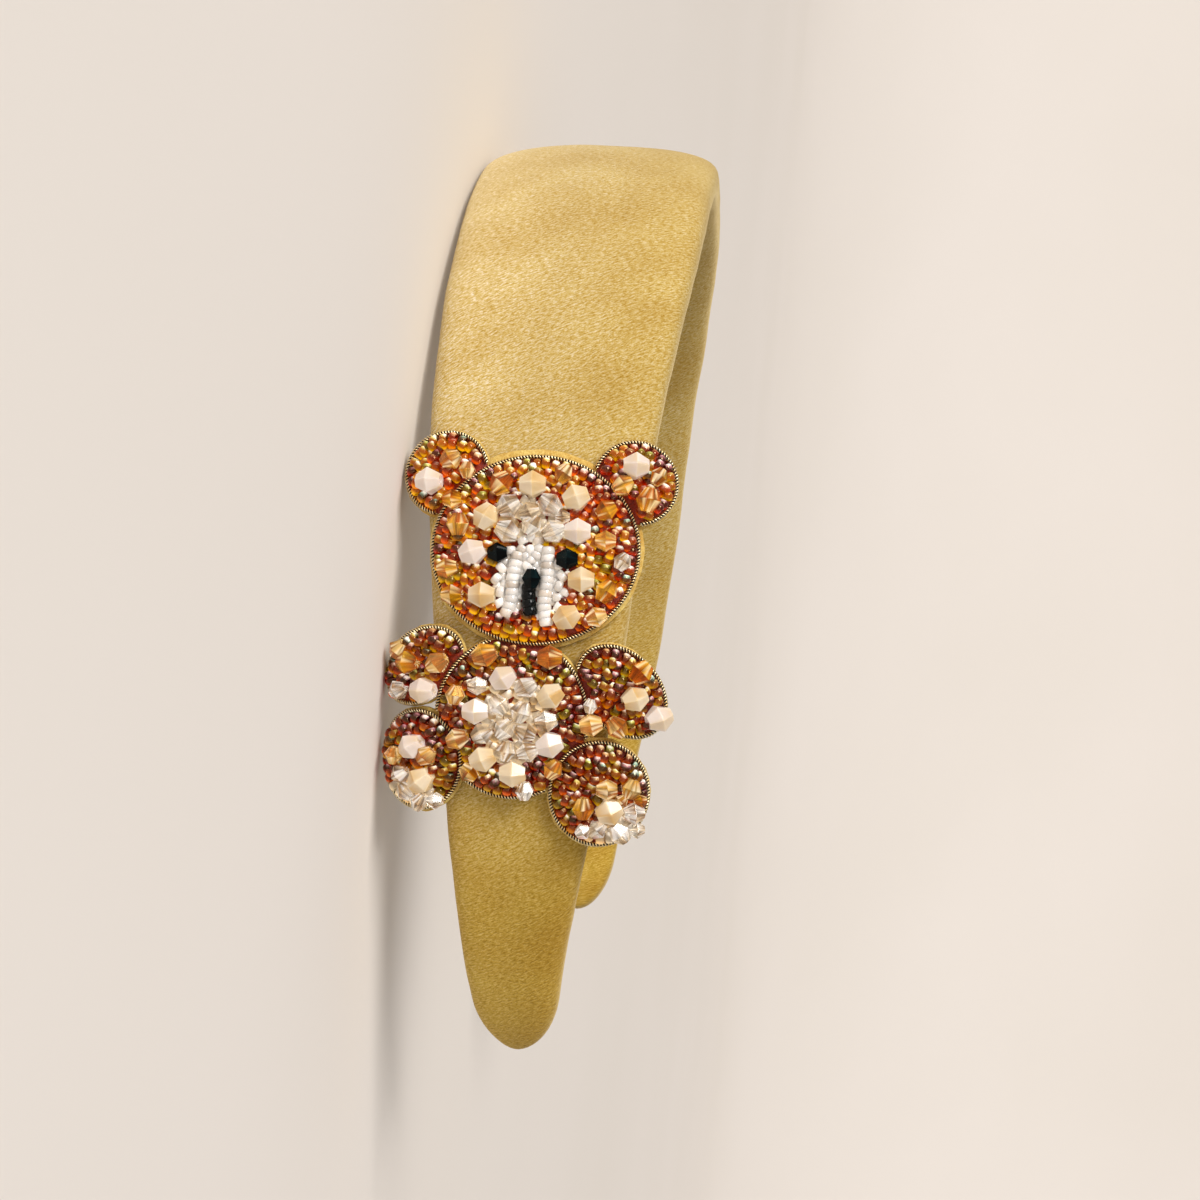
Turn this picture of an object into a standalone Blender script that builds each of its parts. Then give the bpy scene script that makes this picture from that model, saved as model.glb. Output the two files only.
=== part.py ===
"""A padded velvet headband with a beaded bear on one leg, lying on its back edge.

The pieces are laid out in the band's own frame, in millimetres, and then turned to how it
rests. In that frame x runs from the inside of the crown towards the tips, -y points out of the
leg with the bear, and z runs across the band towards the forehead. On the bear, p runs across
it towards the forehead, q runs up it towards the crown, and h is the height over the felt.
"""

import math
from collections import namedtuple

import bmesh
import bpy
import numpy as np
from mathutils import Euler, Matrix, Vector

for old in list(bpy.data.objects):
    bpy.data.objects.remove(old)

MM = 0.001
GAP = 0.3

# The pad: one row for each section from the crown to a tip. Drop and reach place its inside
# middle, and forward shifts it towards the forehead.
BandSection = namedtuple("BandSection", "drop reach width thick back_roundness forward")
BAND_SECTIONS = (
    BandSection(0, 0, 51.5, 14.0, 1.9, 1.3),
    BandSection(4, 18, 51.3, 14.0, 2.0, 1.2),
    BandSection(14, 37, 51, 13.5, 2.2, 0.8),
    BandSection(32, 55, 48.5, 12.5, 2.8, -0.3),
    BandSection(58, 68, 44, 11.5, 3.2, -1.2),
    BandSection(91, 75, 37.5, 10.5, 3.2, -0.3),
    BandSection(124, 76, 29, 9.5, 3.2, 0.0),
    BandSection(150, 70, 21.5, 8.5, 3.2, 0.0),
    BandSection(174, 60, 14.3, 7.5, 3.0, 0.7),
)
FRONT_ROUNDNESS = 3.4
TIP_LENGTH = 13.0
TIP_THINNEST = 0.35
TIP_RINGS = 5
TIP_FIRST_RING = 0.6
LEG_RINGS = 21
SECTION_POINTS = 18
STATION_STEP = 0.02
CREASE_DEGREES = 60

# How the whole thing rests: turned about x and y, then lifted on to the surface. The pad
# sinks a little way in, and is pressed flat there.
REST_TILT_X = -1.36
REST_TILT_Y = -1.02
REST_LIFT = 26.37
REST_MIDDLE = (81.0, -4.0)
SURFACE_REACH = 150.0
SURFACE_DEPTH = 20.0

# The bear on the band, and how its patch bends: a little over the middle, and more towards
# each edge of the pad.
BEAR_DROP = 87.0
BEAR_LEAN = 4.0
SEAT_GAP = 0.5
FELT_THICK = 1.2
FELT_RIM = 1.3
CROWN_OF_PATCH = 200.0
BEND_START = 12.0
Bend = namedtuple("Bend", "back front")
HEAD_BEND = Bend(80.0, 80.0)
BODY_BEND = Bend(25.0, 50.0)
BEND_CHANGE = 8.0
SEAT_START = -0.5
SEAT_SAMPLES = 160
CHART_STEP = 0.1

# The outlines that the coiled wire follows, with degrees of tilt.
Outline = namedtuple("Outline", "p q half_wide half_tall tilt")
OUTLINES = {
    "head": Outline(1.4, 17.0, 20.2, 18.2, 0),
    "left_ear": Outline(-16.4, 32.3, 8.2, 8.2, 0),
    "right_ear": Outline(20.9, 30.3, 8.1, 8.1, 0),
    "left_leg": Outline(-22.0, -24.2, 8.8, 9.7, 0),
    "right_leg": Outline(14.0, -30.5, 9.6, 10.2, 0),
    "torso": Outline(-3.0, -15.6, 14.8, 15.6, 0),
    "left_arm": Outline(-21.4, -5.6, 9.4, 6.7, 32),
    "right_arm": Outline(18.5, -10.5, 10.2, 7.2, -47),
}
# What lies over what: a later piece stops at each piece before it in this list.
LAYERS = ("head", "left_ear", "right_ear", "left_leg", "right_leg", "torso", "left_arm",
          "right_arm")

WIRE_RADIUS = 0.55
WIRE_SIDE = WIRE_RADIUS + GAP
WIRE_STEP = 3.0
WIRE_CHECKS = 8
BED_BASE = 0.5
BED_TOP = 2.0
BED_DOME = 0.4
PLATE_STEP = 4.2
LEAST_SIDES = 18
CELL_ACROSS = 7.5
CELL_ALONG = 12.0
CELL_SNAP = 0.05
SLIVER = 0.06
THROUGH = (-1.0, 9.0)

# Cut beads with a hole: two cones of six facets, flat at each end of the hole.
STONE_SIDES = 6
STONE_LENGTH = 0.88
STONE_END = 0.5
STONE_HEIGHT = 3.3
SEEN_SCALE = (0.974, 0.977)
SEEN_SHIFT = (0.67, -0.52)
STONE_REACH = 3.0
POCKET_GROWTH = 1.12
WELD = 0.00001
CLUSTER_SPREAD = 137.5
CLUSTER_TURN = 50
Stone = namedtuple("Stone", "p q size turn h")


def seen_at(p, q):
    """The place of a bead that is seen against the felt at p and q, a little further out."""
    return p * SEEN_SCALE[0] + SEEN_SHIFT[0], q * SEEN_SCALE[1] + SEEN_SHIFT[1]


def on_felt(*rows):
    """Stones from rows of p, q, size and the turn of their hole, all at the same height."""
    return [Stone(*seen_at(p, q), size, turn, STONE_HEIGHT) for p, q, size, turn in rows]


LARGE_STONES = {
    "white_opal": on_felt(
        (-20.2, 31.4, 5.8, 0),
        (20.4, 34.3, 5.8, 0),
        (-11.4, 17.2, 5.8, 20),
        (9.4, 21.2, 5.8, 0),
        (-5.1, -7.4, 5.6, 30),
        (-10.6, -13.9, 5.8, 0),
        (4.1, -20.4, 5.8, 15),
        (-20.6, -10.1, 5.7, 0),
        (25.0, -15.4, 5.8, 20),
        (-23.0, -21.4, 5.6, 30),
    ),
    "cream_opal": on_felt(
        (0.4, 30.4, 5.8, 0),
        (-8.8, 24.1, 5.8, 60),
        (9.0, 27.8, 5.8, 20),
        (10.2, 11.8, 5.8, 0),
        (7.4, 4.5, 5.8, 30),
        (-9.4, 8.8, 5.8, 0),
        (-9.2, -23.3, 5.8, 20),
        (-3.3, -26.1, 5.8, 0),
        (4.3, -10.8, 5.8, 30),
        (20.3, -11.4, 5.6, 20),
        (-21.2, -28.0, 5.8, 40),
        (15.3, -33.7, 5.8, 20),
    ),
    "amber_glass": on_felt(
        (18.0, 30.4, 4.6, 30),
        (22.9, 27.6, 5.4, 80),
        (-15.4, 27.6, 4.4, 0),
        (-5.9, 30.6, 5.2, 45),
        (-14.2, 22.6, 5.0, 90),
        (14.9, 25.4, 4.6, 30),
        (-16.2, 14.0, 4.6, 10),
        (15.0, 9.6, 5.0, 60),
        (-8.8, -2.9, 5.4, 20),
        (4.1, -3.3, 5.4, 0),
        (4.7, -25.3, 4.3, 60),
        (-23.8, -4.6, 5.2, 0),
        (21.4, -6.2, 5.2, 45),
    ),
    "black_glass": [
        Stone(*seen_at(-6.4, 17.1), 4.4, 0, 3.0),
        Stone(*seen_at(7.4, 15.8), 4.8, 0, 3.3),
        Stone(*seen_at(0.5, 12.0), 4.2, 90, 3.6),
    ],
}
SMALL_STONES = {
    "head": on_felt(
        (-15.3, 8.4, 4.6, 0),
        (5.2, 32.4, 4.2, 60),
        (15.0, 19.0, 4.6, 0),
        (17.6, 14.8, 4.0, 60),
        (12.6, 5.0, 4.6, 20),
    ),
    "left_ear": on_felt((-15.9, 35.8, 4.6, 30), (-12.7, 33.3, 3.6, 90)),
    "right_ear": on_felt((24.8, 32.4, 4.0, 60)),
    "torso": on_felt(
        (-12.6, -8.2, 4.2, 0),
        (-15.4, -12.6, 3.8, 40),
        (-13.4, -19.2, 4.8, 20),
        (-9.4, -27.2, 3.6, 60),
        (8.4, -14.4, 4.6, 60),
    ),
    "left_arm": on_felt((-25.0, -9.4, 4.2, 20), (-18.4, -4.4, 4.6, 40)),
    "right_arm": on_felt((14.6, -11.6, 4.6, 0), (20.2, -16.6, 4.2, 30), (16.2, -5.2, 4.0, 60)),
    "left_leg": on_felt((-18.0, -23.6, 4.4, 80), (-26.4, -25.6, 4.0, 40)),
    "right_leg": on_felt((10.2, -31.6, 4.8, 90), (13.6, -28.0, 3.8, 40), (18.4, -28.4, 4.0, 70)),
}
Cluster = namedtuple("Cluster", "p q half_wide half_tall count size")
CLEAR_CRYSTALS = {
    "head": Cluster(0.4, 23.7, 4.6, 3.2, 6, 4.0),
    "torso": Cluster(-2.6, -15.6, 4.8, 7.6, 9, 4.0),
    "left_leg": Cluster(-24.2, -30.6, 3.6, 1.5, 4, 3.6),
    "right_leg": Cluster(18.6, -36.0, 3.6, 2.4, 5, 3.6),
}
MUZZLE = Outline(0.0, 10.6, 7.4, 8.2, 0)
MUZZLE_TOP = 2.6


def srgb(red, green, blue):
    """A colour of 0 to 255 values, made linear."""
    return tuple((value / 255) ** 2.2 for value in (red, green, blue)) + (1.0,)


Finish = namedtuple("Finish", "colour roughness metallic")
FINISHES = {
    "velvet": Finish(srgb(212, 178, 108), 0.9, 0.0),
    "felt": Finish(srgb(232, 178, 82), 0.95, 0.0),
    "wire": Finish(srgb(176, 150, 98), 0.35, 1.0),
    "amber_beads": Finish(srgb(176, 92, 30), 0.2, 0.0),
    "white_beads": Finish(srgb(236, 230, 222), 0.35, 0.0),
    "white_opal": Finish(srgb(238, 228, 222), 0.15, 0.0),
    "cream_opal": Finish(srgb(236, 212, 168), 0.15, 0.0),
    "amber_glass": Finish(srgb(222, 146, 56), 0.05, 0.0),
    "black_glass": Finish(srgb(10, 14, 14), 0.05, 0.0),
}


def new_material(name):
    finish = FINISHES[name]
    material = bpy.data.materials.new(name)
    material.use_nodes = True
    shader = material.node_tree.nodes["Principled BSDF"]
    shader.inputs["Base Color"].default_value = finish.colour
    shader.inputs["Roughness"].default_value = finish.roughness
    shader.inputs["Metallic"].default_value = finish.metallic
    return material


# The band


def band_at(station):
    """The section at a place from -8 (the bear's tip) over 0 (the crown) to 8, read smoothly."""
    last = len(BAND_SECTIONS) - 1
    place = min(abs(station), last)
    start = min(int(place), last - 1)
    t = place - start

    def row(index):
        if index > last:
            return 2 * np.array(BAND_SECTIONS[last]) - np.array(BAND_SECTIONS[2 * last - index])
        section = np.array(BAND_SECTIONS[abs(index)], float)
        section[1] *= 1 if index >= 0 else -1
        return section

    a, b, c, d = (row(start + step) for step in (-1, 0, 1, 2))
    value = b + 0.5 * t * (c - a + t * (2 * a - 5 * b + 4 * c - d + t * (3 * (b - c) + d - a)))
    value[1] *= math.copysign(1, station)
    return BandSection(*value)


def band_frame(station):
    """The inner middle of the pad there, and the way out of it, in the band's x and y."""
    here = band_at(station)
    before, after = band_at(station - STATION_STEP), band_at(station + STATION_STEP)
    along = Vector((after.drop - before.drop, after.reach - before.reach)).normalized()
    return Vector((here.drop, here.reach)), Vector((-along.y, along.x))


def rounded_box(angle, half_wide, half_tall, roundness):
    """A point on an oval that is squarer the higher its roundness number is."""
    wide, tall = math.cos(angle), math.sin(angle)
    return (
        half_wide * math.copysign(abs(wide) ** (2 / roundness), wide),
        half_tall * math.copysign(abs(tall) ** (2 / roundness), tall),
    )


def band_ring(station, shrink=1.0):
    """One ring of the pad's skin. Shrink below 1 draws it in, for a rounded tip."""
    here = band_at(station)
    inner, out = band_frame(station)
    ring = []
    for k in range(SECTION_POINTS):
        angle = 2 * math.pi * (k + 0.5) / SECTION_POINTS
        roundness = here.back_roundness if math.cos(angle) < 0 else FRONT_ROUNDNESS
        thin = TIP_THINNEST + (1 - TIP_THINNEST) * shrink
        across, up = rounded_box(angle, here.width / 2 * shrink, here.thick / 2 * thin, roundness)
        place = inner + out * (here.thick / 2 + up)
        ring.append(Vector((place.x, place.y, here.forward + across)))
    return ring


def band_rings():
    """The rings from the bear's tip to the other, closer together where the tips round off."""
    last = len(BAND_SECTIONS) - 1
    before, end = BAND_SECTIONS[-2], BAND_SECTIONS[-1]
    tip = TIP_LENGTH / math.hypot(end.drop - before.drop, end.reach - before.reach)
    side = []
    for k in range(TIP_RINGS):
        turn = math.pi / 2 * (k + TIP_FIRST_RING) / (TIP_RINGS + TIP_FIRST_RING)
        side.append((last - tip * (1 - math.cos(turn)), math.sin(turn)))
    side += [((last - tip) * k / LEG_RINGS, 1.0) for k in range(LEG_RINGS, 0, -1)]
    bear_side = [band_ring(-station, shrink) for station, shrink in side]
    other_side = [band_ring(station, shrink) for station, shrink in reversed(side)]
    return bear_side + [band_ring(0.0)] + other_side


def loft(rings):
    """A closed skin over rings of points that have the same count."""
    mesh = bmesh.new()
    loops = [[mesh.verts.new(point * MM) for point in ring] for ring in rings]
    for near, far in zip(loops, loops[1:]):
        for k in range(len(near)):
            after = (k + 1) % len(near)
            mesh.faces.new((near[k], near[after], far[after], far[k]))
    mesh.faces.new(loops[0])
    mesh.faces.new(loops[-1])
    bmesh.ops.recalc_face_normals(mesh, faces=mesh.faces)
    return mesh


# The bear's patch, which follows the pad along the leg and bends back past its edges


def seat_line():
    """The pad's outer middle line down the bear's leg: heights up from the bear's middle."""
    stations = np.linspace(SEAT_START, -len(BAND_SECTIONS) + 1, SEAT_SAMPLES)
    points = []
    for station in stations:
        inner, out = band_frame(station)
        points.append(inner + out * band_at(station).thick)
    steps = [0.0] + [(b - a).length for a, b in zip(points, points[1:])]
    lengths = np.cumsum(steps)
    start = np.interp(BEAR_DROP, [point.x for point in points], lengths)
    return start - lengths, stations


SEAT_HEIGHTS, SEAT_STATIONS = seat_line()


def smooth_step(value, low, high):
    t = min(max((value - low) / (high - low), 0.0), 1.0)
    return t * t * (3 - 2 * t)


def bear_point(p, q, h):
    """Where a point of the bear lies in the band's frame."""
    lean = math.radians(BEAR_LEAN)
    across = p * math.cos(lean) - q * math.sin(lean)
    along = p * math.sin(lean) + q * math.cos(lean)
    station = np.interp(-along, -SEAT_HEIGHTS, SEAT_STATIONS)
    inner, out = band_frame(station)
    seat = inner + out * (band_at(station).thick + SEAT_GAP + FELT_THICK)
    head = smooth_step(along, -BEND_CHANGE, BEND_CHANGE)
    side = "front" if across > 0 else "back"
    extra = head / getattr(HEAD_BEND, side) + (1 - head) / getattr(BODY_BEND, side)
    flat = min(abs(across), BEND_START)
    lean_in = flat / CROWN_OF_PATCH
    far, fall = CROWN_OF_PATCH * math.sin(lean_in), CROWN_OF_PATCH * (1 - math.cos(lean_in))
    curve = 1 / CROWN_OF_PATCH + extra
    turned = lean_in + (abs(across) - flat) * curve
    far += (math.sin(turned) - math.sin(lean_in)) / curve
    fall += (math.cos(lean_in) - math.cos(turned)) / curve
    far += h * math.sin(turned)
    fall -= h * math.cos(turned)
    place = seat - out * fall
    return Vector((place.x, place.y, math.copysign(far, across)))


def bear_frame(p, q, h, turn):
    """A stand on the patch: x along a bead's hole, turned from p towards q, and z out of it."""
    here = bear_point(p, q, h)
    across = (bear_point(p + CHART_STEP, q, h) - here).normalized()
    along = (bear_point(p, q + CHART_STEP, h) - here).normalized()
    out = across.cross(along).normalized()
    up = out.cross(across)
    angle = math.radians(turn)
    hole = across * math.cos(angle) + up * math.sin(angle)
    frame = Matrix((hole, out.cross(hole), out)).transposed().to_4x4()
    frame.translation = here * MM
    return frame


def outline_point(outline, angle, grow=0.0):
    turn = math.radians(outline.tilt)
    wide = (outline.half_wide + grow) * math.cos(angle)
    tall = (outline.half_tall + grow) * math.sin(angle)
    return (
        outline.p + wide * math.cos(turn) - tall * math.sin(turn),
        outline.q + wide * math.sin(turn) + tall * math.cos(turn),
    )


def length_around(outline):
    return math.pi * (outline.half_wide + outline.half_tall)


def inside(outline, p, q, grow=0.0):
    turn = math.radians(outline.tilt)
    x, y = p - outline.p, q - outline.q
    wide = (x * math.cos(turn) + y * math.sin(turn)) / (outline.half_wide + grow)
    tall = (y * math.cos(turn) - x * math.sin(turn)) / (outline.half_tall + grow)
    return wide * wide + tall * tall < 1


# Objects

parts = bpy.data.collections.new("velvet_headband")
cutters = bpy.data.collections.new("cutters")
for collection in (parts, cutters):
    bpy.context.scene.collection.children.link(collection)
materials = {name: new_material(name) for name in FINISHES}

rest = bpy.data.objects.new("rest", None)
parts.objects.link(rest)
rest.matrix_world = (
    Matrix.Translation((0, 0, REST_LIFT * MM))
    @ Euler((math.radians(REST_TILT_X), math.radians(REST_TILT_Y), 0)).to_matrix().to_4x4()
    @ Matrix.Translation((-REST_MIDDLE[0] * MM, -REST_MIDDLE[1] * MM, 0))
)


def new_object(name, data, material):
    thing = bpy.data.objects.new(name, data)
    parts.objects.link(thing)
    thing.parent = rest
    data.materials.append(material)
    return thing


def new_guide(name, data, group):
    """An object that only cuts or joins others."""
    guide = bpy.data.objects.new(name, data)
    group.objects.link(guide)
    guide.hide_render = True
    guide.display_type = "WIRE"
    return guide


def boolean(thing, operation, other):
    cut = thing.modifiers.new(operation.lower(), "BOOLEAN")
    cut.operation = operation
    cut.solver = "EXACT"
    if isinstance(other, bpy.types.Collection):
        cut.operand_type = "COLLECTION"
        cut.collection = other
        cut.use_self = True
    else:
        cut.object = other


def weld(thing):
    """Closes the slivers that cutting leaves."""
    close = thing.modifiers.new("weld", "WELD")
    close.merge_threshold = SLIVER * MM


def mesh_from(builder, name):
    mesh = bpy.data.meshes.new(name)
    builder.to_mesh(mesh)
    builder.free()
    return mesh


# Plates that are cut while they lie flat, and then wrapped on to the pad


def plate(outline, grow, low, high):
    """A flat plate of the outline, from one height to another."""
    flat = bmesh.new()
    sides = max(LEAST_SIDES, round(length_around(outline) / PLATE_STEP))
    bmesh.ops.create_circle(flat, cap_ends=True, segments=sides, radius=1)
    flat.verts.ensure_lookup_table()
    for vertex in flat.verts:
        p, q = outline_point(outline, math.atan2(vertex.co.y, vertex.co.x), grow)
        vertex.co = (p, q, low)
    top = bmesh.ops.extrude_face_region(flat, geom=flat.faces[:])
    for item in top["geom"]:
        if isinstance(item, bmesh.types.BMVert):
            item.co.z = high
    bmesh.ops.recalc_face_normals(flat, faces=flat.faces)
    return mesh_from(flat, "plate")


def flat_result(base, operation, others):
    """The flat plate joined with, or cut by, others that lie flat too."""
    thing = new_guide("flat", base, cutters)
    extra = [new_guide("flat_other", mesh, cutters) for mesh in others]
    for other in extra:
        boolean(thing, operation, other)
    view = bpy.context.evaluated_depsgraph_get()
    result = bpy.data.meshes.new_from_object(thing.evaluated_get(view))
    for item in [thing] + extra:
        bpy.data.objects.remove(item)
    return result


def wrapped(flat, dome=None):
    """The flat plate cut into cells and laid on the pad, its top domed inside an outline."""
    cells = bmesh.new()
    cells.from_mesh(flat)
    for axis, cell in (((1, 0, 0), CELL_ACROSS), ((0, 1, 0), CELL_ALONG)):
        places = [vertex.co.dot(Vector(axis)) for vertex in cells.verts]
        for k in range(math.ceil(min(places) / cell), math.floor(max(places) / cell) + 1):
            place = Vector(axis) * (k * cell)
            every = cells.verts[:] + cells.edges[:] + cells.faces[:]
            bmesh.ops.bisect_plane(
                cells, geom=every, dist=CELL_SNAP, plane_co=place, plane_no=axis
            )
    for vertex in cells.verts:
        p, q, h = vertex.co
        if dome and h > (BED_BASE + BED_TOP) / 2:
            away = math.hypot((p - dome.p) / dome.half_wide, (q - dome.q) / dome.half_tall)
            h += BED_DOME * max(0.0, 1 - away * away)
        vertex.co = bear_point(p, q, h) * MM
    return mesh_from(cells, "wrapped")


# The pieces


def make_band():
    """The pad, pressed flat where it lies on the surface."""
    mesh = mesh_from(loft(band_rings()), "velvet_band")
    mesh.shade_smooth()
    mesh.set_sharp_from_angle(angle=math.radians(CREASE_DEGREES))
    band = new_object("velvet_band", mesh, materials["velvet"])
    box = bmesh.new()
    bmesh.ops.create_cube(box, size=1)
    surface = new_guide("surface", mesh_from(box, "surface"), cutters)
    surface.scale = (SURFACE_REACH * 2 * MM, SURFACE_REACH * 2 * MM, SURFACE_DEPTH * MM)
    surface.location.z = -SURFACE_DEPTH / 2 * MM
    boolean(band, "DIFFERENCE", surface)


def make_felt():
    plates = [plate(OUTLINES[name], FELT_RIM, -FELT_THICK, 0) for name in LAYERS]
    flat = flat_result(plates[0], "UNION", plates[1:])
    new_object("felt_backing", wrapped(flat), materials["felt"])


def wire_runs(name):
    """The stretches of an outline that no earlier piece covers, as lists of chart points."""
    outline = OUTLINES[name]
    earlier = [OUTLINES[other] for other in LAYERS[: LAYERS.index(name)]]
    count = round(length_around(outline) / WIRE_STEP) * WIRE_CHECKS
    points = [outline_point(outline, 2 * math.pi * k / count) for k in range(count)]
    clear = 2 * WIRE_RADIUS + GAP
    free = [not any(inside(other, p, q, clear) for other in earlier) for p, q in points]
    if all(free):
        return [(points[::WIRE_CHECKS], True)]
    first = free.index(False)
    points, free = points[first:] + points[:first], free[first:] + free[:first]
    runs, run = [], []
    for point, open_here in zip(points + points[:1], free + [False]):
        if open_here:
            run.append(point)
        elif run:
            runs.append(run)
            run = []
    result = []
    for run in runs:
        steps = max(1, round((len(run) - 1) / WIRE_CHECKS))
        if steps > 1:
            places = [round(k * (len(run) - 1) / steps) for k in range(steps + 1)]
            result.append(([run[place] for place in places], False))
    return result


def make_wire(name, points, closed):
    curve = bpy.data.curves.new(name, "CURVE")
    curve.dimensions = "3D"
    curve.bevel_depth = WIRE_RADIUS * MM
    curve.bevel_resolution = 1
    curve.use_fill_caps = not closed
    spline = curve.splines.new("POLY")
    spline.points.add(len(points) - 1)
    for knot, (p, q) in zip(spline.points, points):
        knot.co = (bear_point(p, q, GAP + WIRE_RADIUS) * MM).to_4d()
    spline.use_cyclic_u = closed
    spline.use_smooth = True
    new_object(name, curve, materials["wire"])


def stone_mesh(size):
    """Half the outline of a cut bead, which is turned about its hole."""
    half, end = size * STONE_LENGTH / 2, size * STONE_END / 2
    outline = ((0, half), (end, half), (size / 2, 0), (end, -half), (0, -half))
    mesh = bpy.data.meshes.new("stone_outline")
    points = [(x * MM, 0, z * MM) for x, z in outline]
    mesh.from_pydata(points, [(k, k + 1) for k in range(len(points) - 1)], [])
    return mesh


def turn_stone(thing):
    """Turn the outline into the whole bead."""
    screw = thing.modifiers.new("turn", "SCREW")
    screw.steps = STONE_SIDES
    screw.render_steps = STONE_SIDES
    screw.use_merge_vertices = True
    screw.merge_threshold = WELD
    screw.use_smooth_shade = False


def stone_frame(stone):
    """The stone's place on the patch, with its hole along z."""
    frame = bear_frame(stone.p, stone.q, stone.h, stone.turn)
    hole, aside, out = (frame.col[k].to_3d() for k in range(3))
    turned = Matrix((out, -aside, hole)).transposed().to_4x4()
    turned.translation = frame.translation
    return turned


def make_stones(kind, stones):
    """Each of these larger stones is an object of its own."""
    for count, stone in enumerate(stones, 1):
        thing = new_object(f"{kind}_{count}", stone_mesh(stone.size), materials[kind])
        thing.matrix_local = stone_frame(stone)
        turn_stone(thing)


def cluster_stones(cluster):
    """Small stones spread evenly over an oval, each turned its own way."""
    stones = []
    for k in range(cluster.count):
        away = math.sqrt((k + 0.5) / cluster.count)
        angle = k * math.radians(CLUSTER_SPREAD)
        p = cluster.p + cluster.half_wide * away * math.cos(angle)
        q = cluster.q + cluster.half_tall * away * math.sin(angle)
        stones.append((p, q, cluster.size, CLUSTER_TURN * k))
    return on_felt(*stones)


def stone_group(name, stones, growth):
    """Guides of these stones, in a collection of their own."""
    group = bpy.data.collections.new(name)
    cutters.children.link(group)
    for stone in stones:
        guide = new_guide("stone", stone_mesh(stone.size), group)
        guide.parent = rest
        guide.matrix_local = stone_frame(stone) @ Matrix.Scale(growth, 4)
        turn_stone(guide)
    return group


def make_field(name, outline, inset, top, blockers, small_stones, material):
    """The bed of small beads in an outline, its small stones fused to it and room for others."""
    flat = plate(outline, -inset, BED_BASE, top)
    if blockers:
        others = [plate(other, clear, *THROUGH) for other, clear in blockers]
        flat = flat_result(flat, "DIFFERENCE", others)
    field = new_object(f"{name}_beads", wrapped(flat, outline), material)
    if small_stones:
        boolean(field, "UNION", stone_group(f"{name}_stones", small_stones, 1))
    pockets = [
        stone
        for stones in LARGE_STONES.values()
        for stone in stones
        if inside(outline, stone.p, stone.q, STONE_REACH)
    ]
    boolean(field, "DIFFERENCE", stone_group(f"{name}_pockets", pockets, POCKET_GROWTH))
    weld(field)


# The build

make_band()
make_felt()
for place, piece in enumerate(LAYERS):
    runs = wire_runs(piece)
    for number, (knots, closed) in enumerate(runs, 1):
        make_wire(f"{piece}_wire" + (f"_{number}" if len(runs) > 1 else ""), knots, closed)
    blockers = [(OUTLINES[other], WIRE_SIDE) for other in LAYERS[:place]]
    if piece == "head":
        blockers.append((MUZZLE, GAP))
    small_stones = list(SMALL_STONES[piece])
    if piece in CLEAR_CRYSTALS:
        small_stones += cluster_stones(CLEAR_CRYSTALS[piece])
    make_field(
        piece, OUTLINES[piece], WIRE_SIDE, BED_TOP, blockers, small_stones, materials["amber_beads"]
    )
make_field("muzzle", MUZZLE, 0, MUZZLE_TOP, [], [], materials["white_beads"])
for kind, stones in LARGE_STONES.items():
    make_stones(kind, stones)
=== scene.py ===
"""The velvet headband with its beaded bear: nap, felt, coiled wire, seed beads and cut beads.

The shapes are laid out in the band's own frame, in millimetres, and then turned to how the band
rests. In that frame x runs from the inside of the crown towards the tips, -y points out of the
leg with the bear, and z runs across the band towards the forehead. On the bear, p runs across
it towards the forehead, q runs up it towards the crown, and h is the height over the felt.
"""

import math
from collections import namedtuple
from functools import partial

import bpy
import numpy as np
from mathutils import Euler, Matrix, Vector, noise


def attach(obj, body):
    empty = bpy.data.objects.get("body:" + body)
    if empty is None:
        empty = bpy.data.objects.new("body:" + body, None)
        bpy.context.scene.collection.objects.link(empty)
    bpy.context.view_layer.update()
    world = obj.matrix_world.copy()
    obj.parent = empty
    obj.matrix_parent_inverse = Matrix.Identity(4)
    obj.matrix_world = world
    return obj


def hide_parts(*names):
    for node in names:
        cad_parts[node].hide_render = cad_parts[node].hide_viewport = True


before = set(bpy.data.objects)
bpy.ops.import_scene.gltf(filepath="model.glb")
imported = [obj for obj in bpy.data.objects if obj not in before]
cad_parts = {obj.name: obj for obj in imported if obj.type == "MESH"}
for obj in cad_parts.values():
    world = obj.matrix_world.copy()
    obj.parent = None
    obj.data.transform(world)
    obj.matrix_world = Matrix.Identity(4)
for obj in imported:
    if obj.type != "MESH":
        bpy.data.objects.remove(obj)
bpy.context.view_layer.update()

MM = 0.001
CHANCE = np.random.default_rng(41)

# The pad, as in the solids
BandSection = namedtuple("BandSection", "drop reach width thick back_roundness forward")
BAND_SECTIONS = [BandSection(*row) for row in (
    (0, 0, 51.5, 14.0, 1.9, 1.3),
    (4, 18, 51.3, 14.0, 2.0, 1.2),
    (14, 37, 51, 13.5, 2.2, 0.8),
    (32, 55, 48.5, 12.5, 2.8, -0.3),
    (58, 68, 44, 11.5, 3.2, -1.2),
    (91, 75, 37.5, 10.5, 3.2, -0.3),
    (124, 76, 29, 9.5, 3.2, 0.0),
    (150, 70, 21.5, 8.5, 3.2, 0.0),
    (174, 60, 14.3, 7.5, 3.0, 0.7),
)]
LAST_STATION = len(BAND_SECTIONS) - 1
FRONT_ROUNDNESS = 3.4
TIP_LENGTH = 13.0
TIP_THINNEST = 0.35
STATION_STEP = 0.02
REST_TILT = (-1.36, -1.02)
REST_LIFT = 26.37
REST_MIDDLE = (81.0, -4.0)

# The bear's patch, as in the solids
BEAR_DROP = 87.0
BEAR_LEAN = 4.0
SEAT_GAP = 0.5
FELT_THICK = 1.2
CROWN_OF_PATCH = 200.0
BEND_START = 12.0
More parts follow.
